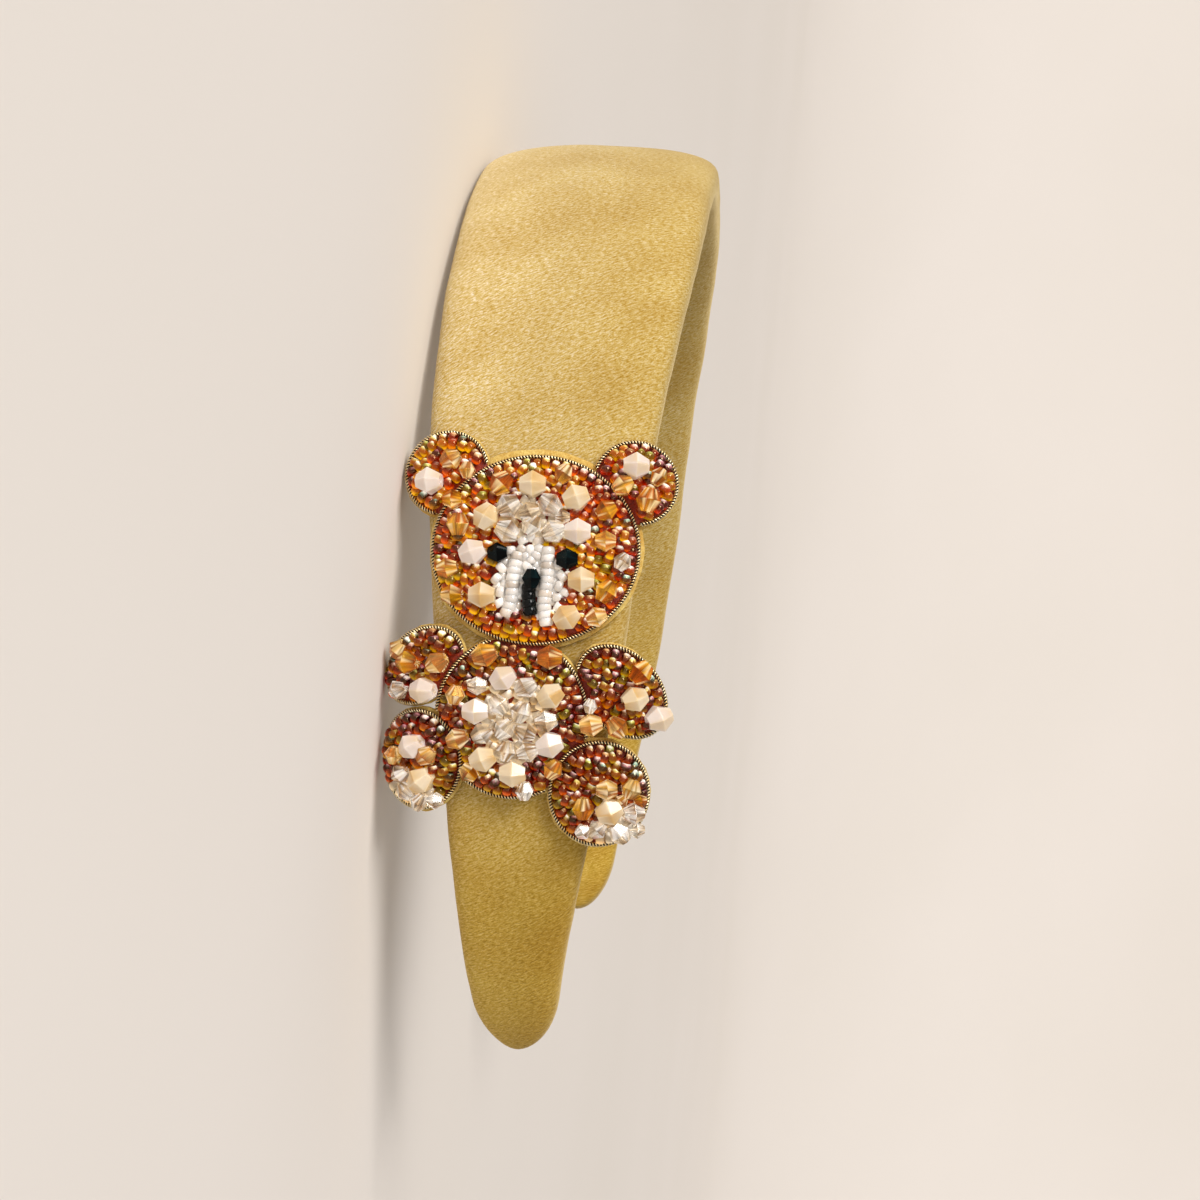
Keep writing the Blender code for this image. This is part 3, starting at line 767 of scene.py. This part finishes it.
def along_nap(rings):
    """Lengths over the velvet, turned to the strokes, and the share of the way to its front."""
    half = PAD_POINTS // 2
    along = lengths_along(*rings[:, half].T)[:, None]
    rings = np.concatenate((rings, rings[:, :1]), 1)
    around = np.array([lengths_along(*ring.T) for ring in rings])
    around = around[:, half, None] - around
    turn = math.radians(NAP_TURN)
    stroke = around * math.cos(turn) + along * math.sin(turn)
    across = along * math.cos(turn) - around * math.sin(turn)
    z = rings[..., 2]
    back, front = z.min(axis=1, keepdims=True), z.max(axis=1, keepdims=True)
    return np.stack((stroke, across, (z - back) / (front - back)), -1)


def lay_nap(mesh, nap):
    """The lengths over the velvet, at the corners of its faces, with no jump where they meet."""
    sides = nap.reshape(-1, 3)[grid_faces(len(nap), PAD_POINTS + 1, False, False)]
    values = np.concatenate((sides.reshape(-1, 3), nap[0, -2::-1], nap[-1, :-1]))
    lay = mesh.attributes.new("nap", "FLOAT_VECTOR", "CORNER")
    lay.data.foreach_set("vector", values.astype(np.float32).ravel())
    mesh.update()


def make_pad():
    rings = pad_rings()
    nap = along_nap(rings)
    points = rings.reshape(-1, 3)
    outward = unit(points - np.repeat(rings.mean(axis=1), PAD_POINTS, axis=0))
    swells = [
        sum(noise.noise(Vector(point) / size) * depth for size, depth in PAD_SWELLS)
        for point in points
    ]
    points = points + outward * np.array(swells)[:, None]
    pad = Joined()
    pad.add(points, grid_faces(len(rings), PAD_POINTS))
    end = np.arange(PAD_POINTS)
    for corners in (end[::-1], end + len(points) - PAD_POINTS):
        pad.add(np.empty((0, 3)), corners[None] - pad.total)
    thing = pad.piece("velvet_pad", ["velvet"], ["velvet_band"])
    for vertex in thing.data.vertices:
        vertex.co.z = max(vertex.co.z, 0.0)
    lay_nap(thing.data, nap)


make_pad()

# The felt, and the garnet ground under the beads: their stitching with painted shade and painted
# reflected colour

FELT_STEPS = 132
FELT_RIM = {
    "head": 1.15, "left_ear": 0.75, "right_ear": 0.7, "torso": 0.7, "left_arm": 0.65,
    "right_arm": 0.65, "left_leg": 0.85, "right_leg": 0.8,
}
HEAD_TOP_RIM = 0.7
FELT_TOP = -0.05
FELT_LAYER = 0.012
FELT_SHARES = (0.0, 0.3, 0.55, 0.75, 0.9)
FELT_EDGE = ((-0.1, -0.12), (0.04, -0.35), (0.06, -0.8), (-0.05, -1.15))
UNDER_SHARES = (0.9, 0.5, 0.0)
# The hand-cut edge is a sum of waves of depth, count and start
EDGE_WAVES = ((0.5, 3, 1.3), (0.3, 7, 0.4), (0.25, 13, 2.1), (0.2, 29, 0.9))
EDGE_DEPTH = 0.2
EDGE_SHIFT = 1.7
GROUND_STEPS = 96
GROUND_LAYER = 0.02
GROUND_PROFILE = ((0.0, 0.4), (0.3, 0.4), (0.6, 0.38), (0.85, 0.34), (0.97, 0.3), (1.0, -0.02))


def ring_in(outline, angles, share, h, grow=0.0):
    """A ring that share of the way from the outline's middle to its edge."""
    p, q = outline_points(outline, angles, grow)
    return bear_points(outline.p + (p - outline.p) * share, outline.q + (q - outline.q) * share, h)


def make_felt():
    felt = Joined()
    angles = all_round(FELT_STEPS)
    for place, name in enumerate(LAYERS):
        outline, shift = OUTLINES[name], place * EDGE_SHIFT
        rim = FELT_RIM[name] + EDGE_DEPTH * sum(
            depth * np.sin(count * angles + start + shift) for depth, count, start in EDGE_WAVES
        )
        if name == "head":
            rim = rim + HEAD_TOP_RIM * np.clip(np.sin(angles), 0, 1) ** 2
        top = FELT_TOP - FELT_LAYER * place
        rings = [ring_in(outline, angles, share, top, rim) for share in FELT_SHARES]
        rings += [ring_in(outline, angles, 1.0, h, rim + more) for more, h in FELT_EDGE]
        rings += [ring_in(outline, angles, share, -FELT_THICK, rim) for share in UNDER_SHARES]
        felt.add(np.concatenate(rings), grid_faces(len(rings), FELT_STEPS))
    felt.piece("felt_patch", ["felt"], ["felt_backing"])


def make_ground():
    """A thin skin in each outline, which shows between the beads as stitching, painted shade and
    painted reflection.
    """
    ground = Joined()
    angles = all_round(GROUND_STEPS)
    for place, name in enumerate(LAYERS):
        rings = [
            ring_in(OUTLINES[name], angles, share, h - GROUND_LAYER * place)
            for share, h in GROUND_PROFILE
        ]
        ground.add(np.concatenate(rings), grid_faces(len(rings), GROUND_STEPS))
    ground.piece("garnet_stitching_and_painted_shade", ["ground"])


make_felt()
make_ground()

# The coiled wire


def under_earlier(name, p, q, reach):
    """Where the pieces before this one lie over it."""
    covered = np.zeros(np.shape(p), bool)
    for other in LAYERS[: LAYERS.index(name)]:
        covered |= inside(OUTLINES[other], p, q, reach)
    return covered


def open_runs(name):
    """The stretches of an outline that no earlier piece covers, as angles, and if it closes."""
    angles = all_round(RUN_SAMPLES)
    covered = under_earlier(name, *outline_points(OUTLINES[name], angles), 2 * WIRE_RADIUS)
    if not covered.any():
        return [(angles, True)]
    first = np.argmax(covered)
    angles, covered = np.roll(angles, -first), np.roll(covered, -first)
    edges = np.flatnonzero(np.diff(np.concatenate(([True], covered, [True]))))
    angles = np.unwrap(angles)
    runs = [angles[start:stop] for start, stop in zip(edges[::2], edges[1::2])]
    return [(run, False) for run in runs if len(run) > SHORTEST_RUN]


def tube(gathered, path, out, aside, radius, sides, closed, finish=0):
    """A round tube along the path."""
    around = all_round(sides)[:, None]
    ring = out[:, None] * np.cos(around) + aside[:, None] * np.sin(around)
    points = (path[:, None] + ring * radius).reshape(-1, 3)
    gathered.add(points, grid_faces(len(path), sides, closed), finish)


def coil(gathered, outline, angles, closed):
    """Two strands wound round a dark core of thread and painted shade, along one stretch of the
    outline.
    """
    if closed:
        angles = np.append(angles, angles[0] + 2 * math.pi)
    line = bear_points(*outline_points(outline, angles), WIRE_HEIGHT)
    lengths = lengths_along(*line.T)
    turns = max(1, round(lengths[-1] / COIL_PITCH))
    count = turns * COIL_STEPS + (0 if closed else 1)
    places = lengths[-1] * np.arange(count) / (turns * COIL_STEPS)
    at = np.interp(places, lengths, angles)
    turn = heading(outline, at, 0.01)
    centre, stands = bear_frames(*outline_points(outline, at), WIRE_HEIGHT, turn)
    out, aside, ahead = np.moveaxis(stands, 2, 0)
    radius = WIRE_RADIUS - STRAND_RADIUS
    rise = COIL_PITCH / (2 * math.pi * radius)
    for start in (0.0, math.pi):
        angle = (2 * math.pi * np.arange(count) / COIL_STEPS + start)[:, None]
        away = out * np.cos(angle) + aside * np.sin(angle)
        path = centre + away * radius
        way = unit(aside * np.cos(angle) - out * np.sin(angle) + ahead * rise)
        tube(gathered, path, away, np.cross(way, away), STRAND_RADIUS, STRAND_SIDES, closed)
    # The dark core: the thread, and painted shade inside the coil
    core = centre[::CORE_STEP], out[::CORE_STEP], aside[::CORE_STEP]
    tube(gathered, *core, CORE_RADIUS, CORE_SIDES, closed, 1)


def make_coils():
    nodes = sorted(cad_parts)
    for name in LAYERS:
        gathered = Joined()
        for angles, closed in open_runs(name):
            coil(gathered, OUTLINES[name], angles, closed)
        wires = [node for node in nodes if node.startswith(f"{name}_wire")]
        gathered.piece(f"{name}_coil", ["brass", "core"], wires)


make_coils()

# Seed beads

SEED_FORM = turned_form(SEED_OUTLINE, SEED_SIDES)
LIGHT_WAY = (-0.72, -0.51, 0.52)
SHEEN_WAY = (-0.9, -0.3, 0.25)
# How far the skin faces the light where its painted sheen, its painted highlight (spark) and, on
# the far side, its painted glow begin and are full, and how strongly the first two glow
SHEEN_RANGE, SPARK_RANGE, GLOW_RANGE = (0.7, 0.92), (0.9, 1.0), (-0.2, 0.45)
SHEEN_LIGHT, SPARK_LIGHT = 0.3, 1.2
# The tint of the painted highlight
SPARK = (255, 250, 236)
# Painted shade in the hole: the skin darkens from the outer radius to the inner, down to this
# share
HOLE_RADII = (0.35, 0.85)
HOLE_SHADE = 0.35
BEAD_SHADES = (0.75, 1.1)
# The shares of the beads of the torso, the arms and the legs, and how far their glass and glow are
# darkened
BODY_SHARES = (0.32, 0.2, 0.26, 0.1, 0.07, 0.05)
BODY_SHADE = 0.6
# Shares of the beads, with three tints: the glass, the painted sheen towards the light and the
# painted glow that light gives them on the far side
Tint = namedtuple("Tint", "share glass sheen glow")
LUSTRES = (
    Tint(0.25, (140, 24, 2), (255, 206, 140), (255, 104, 4)),
    Tint(0.33, (188, 92, 0), (255, 240, 130), (255, 192, 16)),
    Tint(0.14, (76, 6, 2), (232, 160, 170), (204, 44, 2)),
    Tint(0.16, (172, 58, 0), (255, 210, 190), (255, 148, 10)),
    Tint(0.08, (122, 88, 4), (232, 244, 120), (240, 184, 20)),
    Tint(0.04, (90, 44, 14), (190, 244, 216), (224, 144, 30)),
)
CLEAR_LUSTRES = (
    Tint(0.6, (236, 220, 196), (252, 246, 238), (252, 226, 180)),
    Tint(0.4, (214, 186, 148), (240, 228, 216), (246, 204, 140)),
)
WHITES = (
    Tint(0.75, (236, 229, 222), (248, 243, 238), (244, 234, 220)),
    Tint(0.25, (220, 206, 192), (244, 234, 224), (238, 220, 196)),
)
BLACKS = (Tint(1.0, (10, 14, 14), (24, 36, 36), (8, 10, 10)),)
CLEAR_PATCHES = (
    Outline(0.2, 23.4, 5.6, 4.0, 0), Outline(-2.6, -15.8, 6.6, 8.2, 0),
    Outline(-23.0, -30.4, 4.8, 2.8, -30), Outline(17.0, -37.4, 6.4, 3.2, 10),
)


def seed_tints(stands, lustres, shares=None, shade=1.0):
    """Each bead's tints, with painted light by the way its skin faces and painted shade in its
    hole. The fourth value is how far it glows.
    """
    count = len(stands)
    shares = np.array(shares or [tint.share for tint in lustres])
    picks = CHANCE.choice(len(lustres), count, p=shares / shares.sum())
    glass, sheen, glow = (
        np.array([linear(*tint[k]) for tint in lustres])[picks][:, None] for k in (1, 2, 3)
    )
    facing = np.einsum("nij,vj->nvi", stands, unit(SEED_FORM.points))
    lit = (facing @ unit(np.array(SHEEN_WAY)))[..., None] + CHANCE.normal(0, 0.1, (count, 1, 1))
    to_sheen, to_spark = smooth_step(lit, *SHEEN_RANGE), smooth_step(lit, *SPARK_RANGE)
    to_glow = smooth_step(-lit, *GLOW_RANGE)
    tints = blend(shade * blend(glass, glow, to_glow), sheen, to_sheen)
    tints = blend(tints, np.array(linear(*SPARK)), to_spark)
    # Painted shade towards the hole
    inner, outer = HOLE_RADII
    hole = (np.hypot(*SEED_FORM.points[:, :2].T) - inner) / (outer - inner)
    hole = np.clip(hole, HOLE_SHADE, 1.0)[:, None]
    tints = np.clip(tints * hole * CHANCE.uniform(*BEAD_SHADES, (count, 1, 1)), 0, 1)
    tints[..., 3] = (to_glow + SHEEN_LIGHT * to_sheen + SPARK_LIGHT * to_spark)[..., 0]
    return tints


def covered_by(stones, p, q, tuck):
    """Where stones lie, but for that much of their rim."""
    return np.any([np.hypot(p - s.p, q - s.q) < s.size / 2 - tuck for s in stones], axis=0)


def is_free(name, p, q):
    """Where a seed bead can lie, with no earlier piece, stone or muzzle in the way."""
    blocked = covered_by(STONES, p, q, TUCK) | under_earlier(name, p, q, OVERLAP_REACH)
    if name == "head":
        chin = (np.abs(p - MUZZLE.p) < CHIN_HALF_WIDTH) & (q < CHIN_TOP)
        blocked |= inside(MUZZLE, p, q, MUZZLE_GAP) & ~chin
    return ~blocked


def seed_rows(name):
    """Seeds in rows that follow the outline inwards, with their holes along the row."""
    outline = OUTLINES[name]
    seeds, inset = [], FIRST_ROW
    fine = np.linspace(0, 2 * math.pi, ROW_SAMPLES)
    while inset < min(outline.half_wide, outline.half_tall) - 1.0:
        p, q = outline_points(outline, fine, -inset)
        lengths = lengths_along(p, q)
        count = int(lengths[-1] / SEED_STEP)
        places = lengths[-1] * (np.arange(count) + CHANCE.uniform(0, 1)) / count % lengths[-1]
        for angle in np.interp(places, lengths, fine):
            p, q = outline_points(outline, angle, -inset) + CHANCE.normal(0, 0.1, 2)
            if is_free(name, p, q):
                turn = heading(outline, angle, 0.02, -inset)
                seeds.append((p, q, turn + CHANCE.normal(0, TURN_SPREAD)))
        inset += ROW_STEP
    return seeds


def room(seeds, p, q):
    """How near the nearest seed is; seeds are longer across their hole than along it."""
    other_p, other_q, turn = np.array(seeds).T[..., None]
    x, y, angle = p - other_p, q - other_q, np.radians(turn)
    along = (x * np.cos(angle) + y * np.sin(angle)) / SEED_LONG
    across = (y * np.cos(angle) - x * np.sin(angle)) / SEED_WIDE
    return np.hypot(along, across).min(axis=0)


def packed(seeds, outline, allowed, least):
    """More seeds wherever there is room, each as close to the others as it can be."""
    reach = max(outline.half_wide, outline.half_tall)
    steps = np.arange(-reach, reach, FILL_STEP)
    p, q = (grid.ravel() for grid in np.meshgrid(outline.p + steps, outline.q + steps))
    p, q = p + CHANCE.uniform(-0.1, 0.1, len(p)), q + CHANCE.uniform(-0.1, 0.1, len(p))
    kept = inside(outline, p, q, -FIRST_ROW + 0.15) & allowed(p, q)
    p, q, extra = p[kept], q[kept], []
    while len(p):
        gaps = room(seeds + extra, p, q)
        open_here = gaps > least
        if not open_here.any():
            break
        p, q, gaps = p[open_here], q[open_here], gaps[open_here]
        nearest = np.argmin(gaps)
        extra.append((p[nearest], q[nearest], CHANCE.uniform(0, 180)))
    return extra


def make_seeds(name):
    """Rows of seeds, more between them, and a few heaped over the gaps that are left."""
    outline = OUTLINES[name]
    seeds = seed_rows(name)
    free = partial(is_free, name)
    seeds += packed(seeds, outline, free, 1.0)
    p, q, turn = np.array(seeds + packed(seeds, outline, free, HEAP_ROOM)).T
    heights = SEED_HEIGHT + CHANCE.uniform(*UNEVEN_HEIGHT, len(p))
    heights[len(seeds):] += HEAP_RISE
    places, stands = bear_frames(p, q, heights, turn)
    sizes = CHANCE.uniform(*SEED_SIZES, len(p))
    body = () if name.endswith(("head", "ear")) else (BODY_SHARES, BODY_SHADE)
    tints = seed_tints(stands, LUSTRES, *body)
    clear = np.any([inside(patch, p, q) for patch in CLEAR_PATCHES], axis=0)
    tints[clear] = seed_tints(stands[clear], CLEAR_LUSTRES)
    gathered = Joined()
    gathered.copies(SEED_FORM, places, stands, sizes, tints)
    gathered.piece(f"{name}_seeds", ["lustre"], [f"{name}_beads"])


for name in LAYERS:
    make_seeds(name)


def strung(knots, h):
    """Beads strung on a line through the knots: p, q, height and the turn of the hole."""
    p, q = seen_at(*np.array(knots).T)
    lengths = lengths_along(p, q)
    at = np.linspace(0, lengths[-1], max(2, round(lengths[-1] / COLUMN_STEP) + 1))
    before, here, after = (
        np.array([np.interp(at + step, lengths, values) for values in (p, q)])
        for step in (-0.5, 0.0, 0.5)
    )
    run, rise = after - before
    return (*here, h, np.degrees(np.arctan2(rise, run)))


def clear_of_nose(p, q):
    """Where white seeds can lie in the muzzle."""
    under_nose = (np.abs(p - NOSE_MIDDLE) < NOSE_HALF_WIDTH) & (q < NOSE_BOTTOM)
    stones = LARGE_STONES["black_glass"] + LARGE_STONES["cream_opal"]
    return ~(under_nose | covered_by(stones, p, q, MUZZLE_TUCK))


def add_seeds(gathered, spots, size, lustres, finish=0):
    places, stands = bear_frames(*spots)
    gathered.copies(SEED_FORM, places, stands, size, seed_tints(stands, lustres), finish)


def make_muzzle():
    """Columns of white beads, single ones round them, and black ones below the nose."""
    gathered = Joined()
    for knots in WHITE_COLUMNS:
        add_seeds(gathered, strung(knots, COLUMN_HEIGHT), COLUMN_SEED, WHITES)
    p, q = seen_at(*np.array(WHITE_SEEDS).T)
    single = [(*here, CHANCE.uniform(0, 180)) for here in zip(p, q)]
    under = packed(single, MUZZLE, clear_of_nose, MUZZLE_ROOM)
    for seeds, h in ((single, SINGLE_HEIGHT), (under, UNDER_HEIGHT)):
        p, q, turn = np.array(seeds).T
        add_seeds(gathered, (p, q, h, turn), MUZZLE_SEED, WHITES)
    add_seeds(gathered, strung(NOSE_COLUMN, NOSE_HEIGHT), COLUMN_SEED, BLACKS, 1)
    gathered.piece("muzzle_seeds", ["white_seed", "black_seed"], ["muzzle_beads"])


make_muzzle()

# Cut beads

STRIPS = 4
BELT = 0.018
BORE = 0.085
BORE_DEPTH = 0.03
# The share of strips that are painted glints
GLINT_SHARE = 0.15
PALE_GLASS = (255, 222, 146)
# By kind: the finish, how far the strips of a facet differ as painted lines of reflection, how far
# a whole bead can be paler than its fellows, the tint of its painted glints, and the tints that
# its facets take by chance, which in cut glass hold painted reflections as well as its colour
Cut = namedtuple("Cut", "finish contrast paleness glint tints")
CUTS = {
    "white_opal": Cut("opal", 0.02, 0, None, (
        (190, 176, 165), (196, 184, 174), (186, 168, 144),
    )),
    "cream_opal": Cut("opal", 0.04, 0, None, (
        (192, 174, 144), (195, 179, 152), (179, 146, 96), (186, 161, 120),
    )),
    "amber_glass": Cut("amber", 0.38, 0.1, (255, 236, 176), (
        (186, 94, 0), (218, 144, 0), (136, 52, 0), (226, 170, 48), (175, 77, 0),
    )),
    "black_glass": Cut("jet", 0.3, 0, None, ((2, 4, 5), (4, 10, 11), (12, 30, 32))),
    "amber": Cut("amber", 0.38, 0.15, (255, 240, 200), (
        (176, 92, 0), (208, 145, 8), (230, 196, 126), (138, 56, 0),
    )),
    "clear": Cut("clear", 0.38, 0, (255, 252, 248), (
        (240, 222, 194), (218, 192, 154), (255, 250, 240), (160, 124, 84),
    )),
}


def cut_form():
    """A cut bead of size 1: two cones of facets in strips, a narrow belt and a bored hole."""
    half, end = STONE_LENGTH / 2, STONE_END / 2
    outline = (
        (BORE, BORE_DEPTH - half), (end, -half), (0.5, -BELT), (0.5, BELT), (end, half),
        (BORE, half - BORE_DEPTH),
    )
    form = turned_form(outline, STONE_SIDES * STRIPS)
    angle = np.arctan2(form.points[:, 1], form.points[:, 0])
    step = 2 * math.pi / STONE_SIDES
    aside = (angle + step / 2) % step - step / 2
    flat = math.cos(step / 2) / np.cos(step / 2 - np.abs(aside))
    form.points[:, :2] *= flat[:, None]
    return form


CUT_FORM = cut_form()


def facet_tints(kind, count):
    """A tint for each strip of each facet, with painted reflections and painted glints."""
    cut = CUTS[kind]
    choices = np.array([linear(*tint) for tint in cut.tints])
    rows = len(CUT_FORM.faces) // (STONE_SIDES * STRIPS)
    facets = choices[CHANCE.integers(0, len(choices), (count, rows, STONE_SIDES))]
    strips = np.repeat(facets, STRIPS, axis=2)
    # Painted lines of reflection: the strips of a facet differ in brightness
    low, high = 1 - 2 * cut.contrast, 1 + cut.contrast / 2
    strips *= CHANCE.uniform(low, high, strips.shape[:3])[..., None]
    if cut.paleness:
        pale = CHANCE.uniform(0, cut.paleness, (count, 1, 1, 1))
        strips = blend(strips, np.array(linear(*PALE_GLASS)), pale)
    # Painted glints on strips at random
    if cut.glint:
        strips[CHANCE.random(strips.shape[:3]) < GLINT_SHARE] = linear(*cut.glint)
    tints = np.clip(strips.reshape(count, -1, 4), 0, 1)
    tints[..., 3] = 1
    return tints


def cut_beads(gathered, kind, stones, finish=0):
    p, q, size, turn, h = np.array(stones).T
    places, stands = bear_frames(p, q, h, turn)
    gathered.copies(CUT_FORM, places, stands, size, facet_tints(kind, len(stones)), finish, False)


for kind, stones in LARGE_STONES.items():
    for count, stone in enumerate(stones, 1):
        single = Joined()
        cut_beads(single, kind, [stone])
        single.piece(f"{kind}_cut_{count}", [CUTS[kind].finish], [f"{kind}_{count}"])
for name, groups in SMALL_STONES.items():
    small = Joined()
    for place, (kind, stones) in enumerate(groups.items()):
        cut_beads(small, kind, stones, place)
    finishes = [CUTS[kind].finish for kind in groups]
    small.piece(f"{name}_cut_beads", finishes, [f"{name}_beads"])

# The stage, the light and the camera

VIEW_DISTANCE = 600.0
VIEW_YAW = 4.65
VIEW_RISE = 6.6
VIEW_ROLL = 3.75
VIEW_TARGET = (88.4, 0.0, 6.7)
LENS = 78.8
NEAREST = 0.01
BAND_MIDDLE = (0, 0, 0.03)
SOFT_LIGHTS = (
    ("window_light", (-0.55, -0.9, 0.75), 0.3), ("front_light", (0.1, -1.3, 0.5), 0.9)
)
SWEEP_HALF_WIDTH = 9.0
SWEEP_FRONT = -9.0
SWEEP_BACK = 1.6
SWEEP_BEND = 0.9
SWEEP_TOP = 3.0
SWEEP_STEPS = 25


def make_sweep():
    """A plain pale floor that curves up into a backdrop."""
    turn = np.linspace(0, math.pi / 2, SWEEP_STEPS)
    bend = SWEEP_BACK + SWEEP_BEND * np.sin(turn)
    y = (SWEEP_FRONT, *bend, SWEEP_BACK + SWEEP_BEND)
    z = (0.0, *SWEEP_BEND * (1 - np.cos(turn)), SWEEP_TOP)
    points = [(x, b, c) for b, c in zip(y, z) for x in (-SWEEP_HALF_WIDTH, SWEEP_HALF_WIDTH)]
    mesh = bpy.data.meshes.new("sweep")
    mesh.from_pydata(points, [], grid_faces(len(y), 2, False, False).tolist())
    mesh.shade_smooth()
    paper, _ = grained(
        "pale_paper", {"Roughness": 0.9, "Specular IOR Level": 0.1}, (3.0,),
        (0.3, (221, 215, 208)), (0.7, (224, 218, 212)),
    )
    mesh.materials.append(paper.material)
    placed("sweep", mesh)


def make_light(kind, name, way, power, colour):
    """A light that shines from that way."""
    lamp = bpy.data.lights.new(name, kind)
    lamp.energy, lamp.color = power, linear(*colour)[:3]
    light = placed(name, lamp)
    light.rotation_euler = Vector(way).to_track_quat("Z", "Y").to_euler()
    return light


def make_lights():
    """Even daylight, and soft square lights that face the band."""
    sun = make_light("SUN", "daylight", LIGHT_WAY, 2.9, (255, 251, 247))
    sun.data.angle = math.radians(30.0)
    for name, place, size in SOFT_LIGHTS:
        way = Vector(place) - Vector(BAND_MIDDLE)
        light = make_light("AREA", name, way, 2.0, (255, 252, 249))
        light.location, light.data.size = place, size
    world = bpy.data.worlds.new("studio")
    world.use_nodes = True
    sockets = world.node_tree.nodes["Background"].inputs
    sockets["Color"].default_value, sockets["Strength"].default_value = linear(255, 250, 246), 0.4
    bpy.context.scene.world = world


def make_camera():
    yaw, rise, roll = map(math.radians, (VIEW_YAW, VIEW_RISE, VIEW_ROLL))
    right = Vector((0, math.sin(yaw), math.cos(yaw)))
    level = Vector((0, -math.cos(yaw), math.sin(yaw)))
    back = level * math.cos(rise) - Vector((math.sin(rise), 0, 0))
    upright = Matrix((right, back.cross(right), back)).transposed()
    stand = (upright @ Matrix.Rotation(roll, 3, "Z")).to_4x4()
    stand.translation = Vector(VIEW_TARGET) + back * VIEW_DISTANCE
    stand = REST @ stand
    stand.translation *= MM
    camera = placed("camera", bpy.data.cameras.new("camera"))
    camera.data.lens, camera.data.clip_start = LENS, NEAREST
    camera.matrix_world = stand
    bpy.context.scene.camera = camera


make_sweep()
make_lights()
make_camera()
bpy.context.scene.view_settings.view_transform = "Standard"
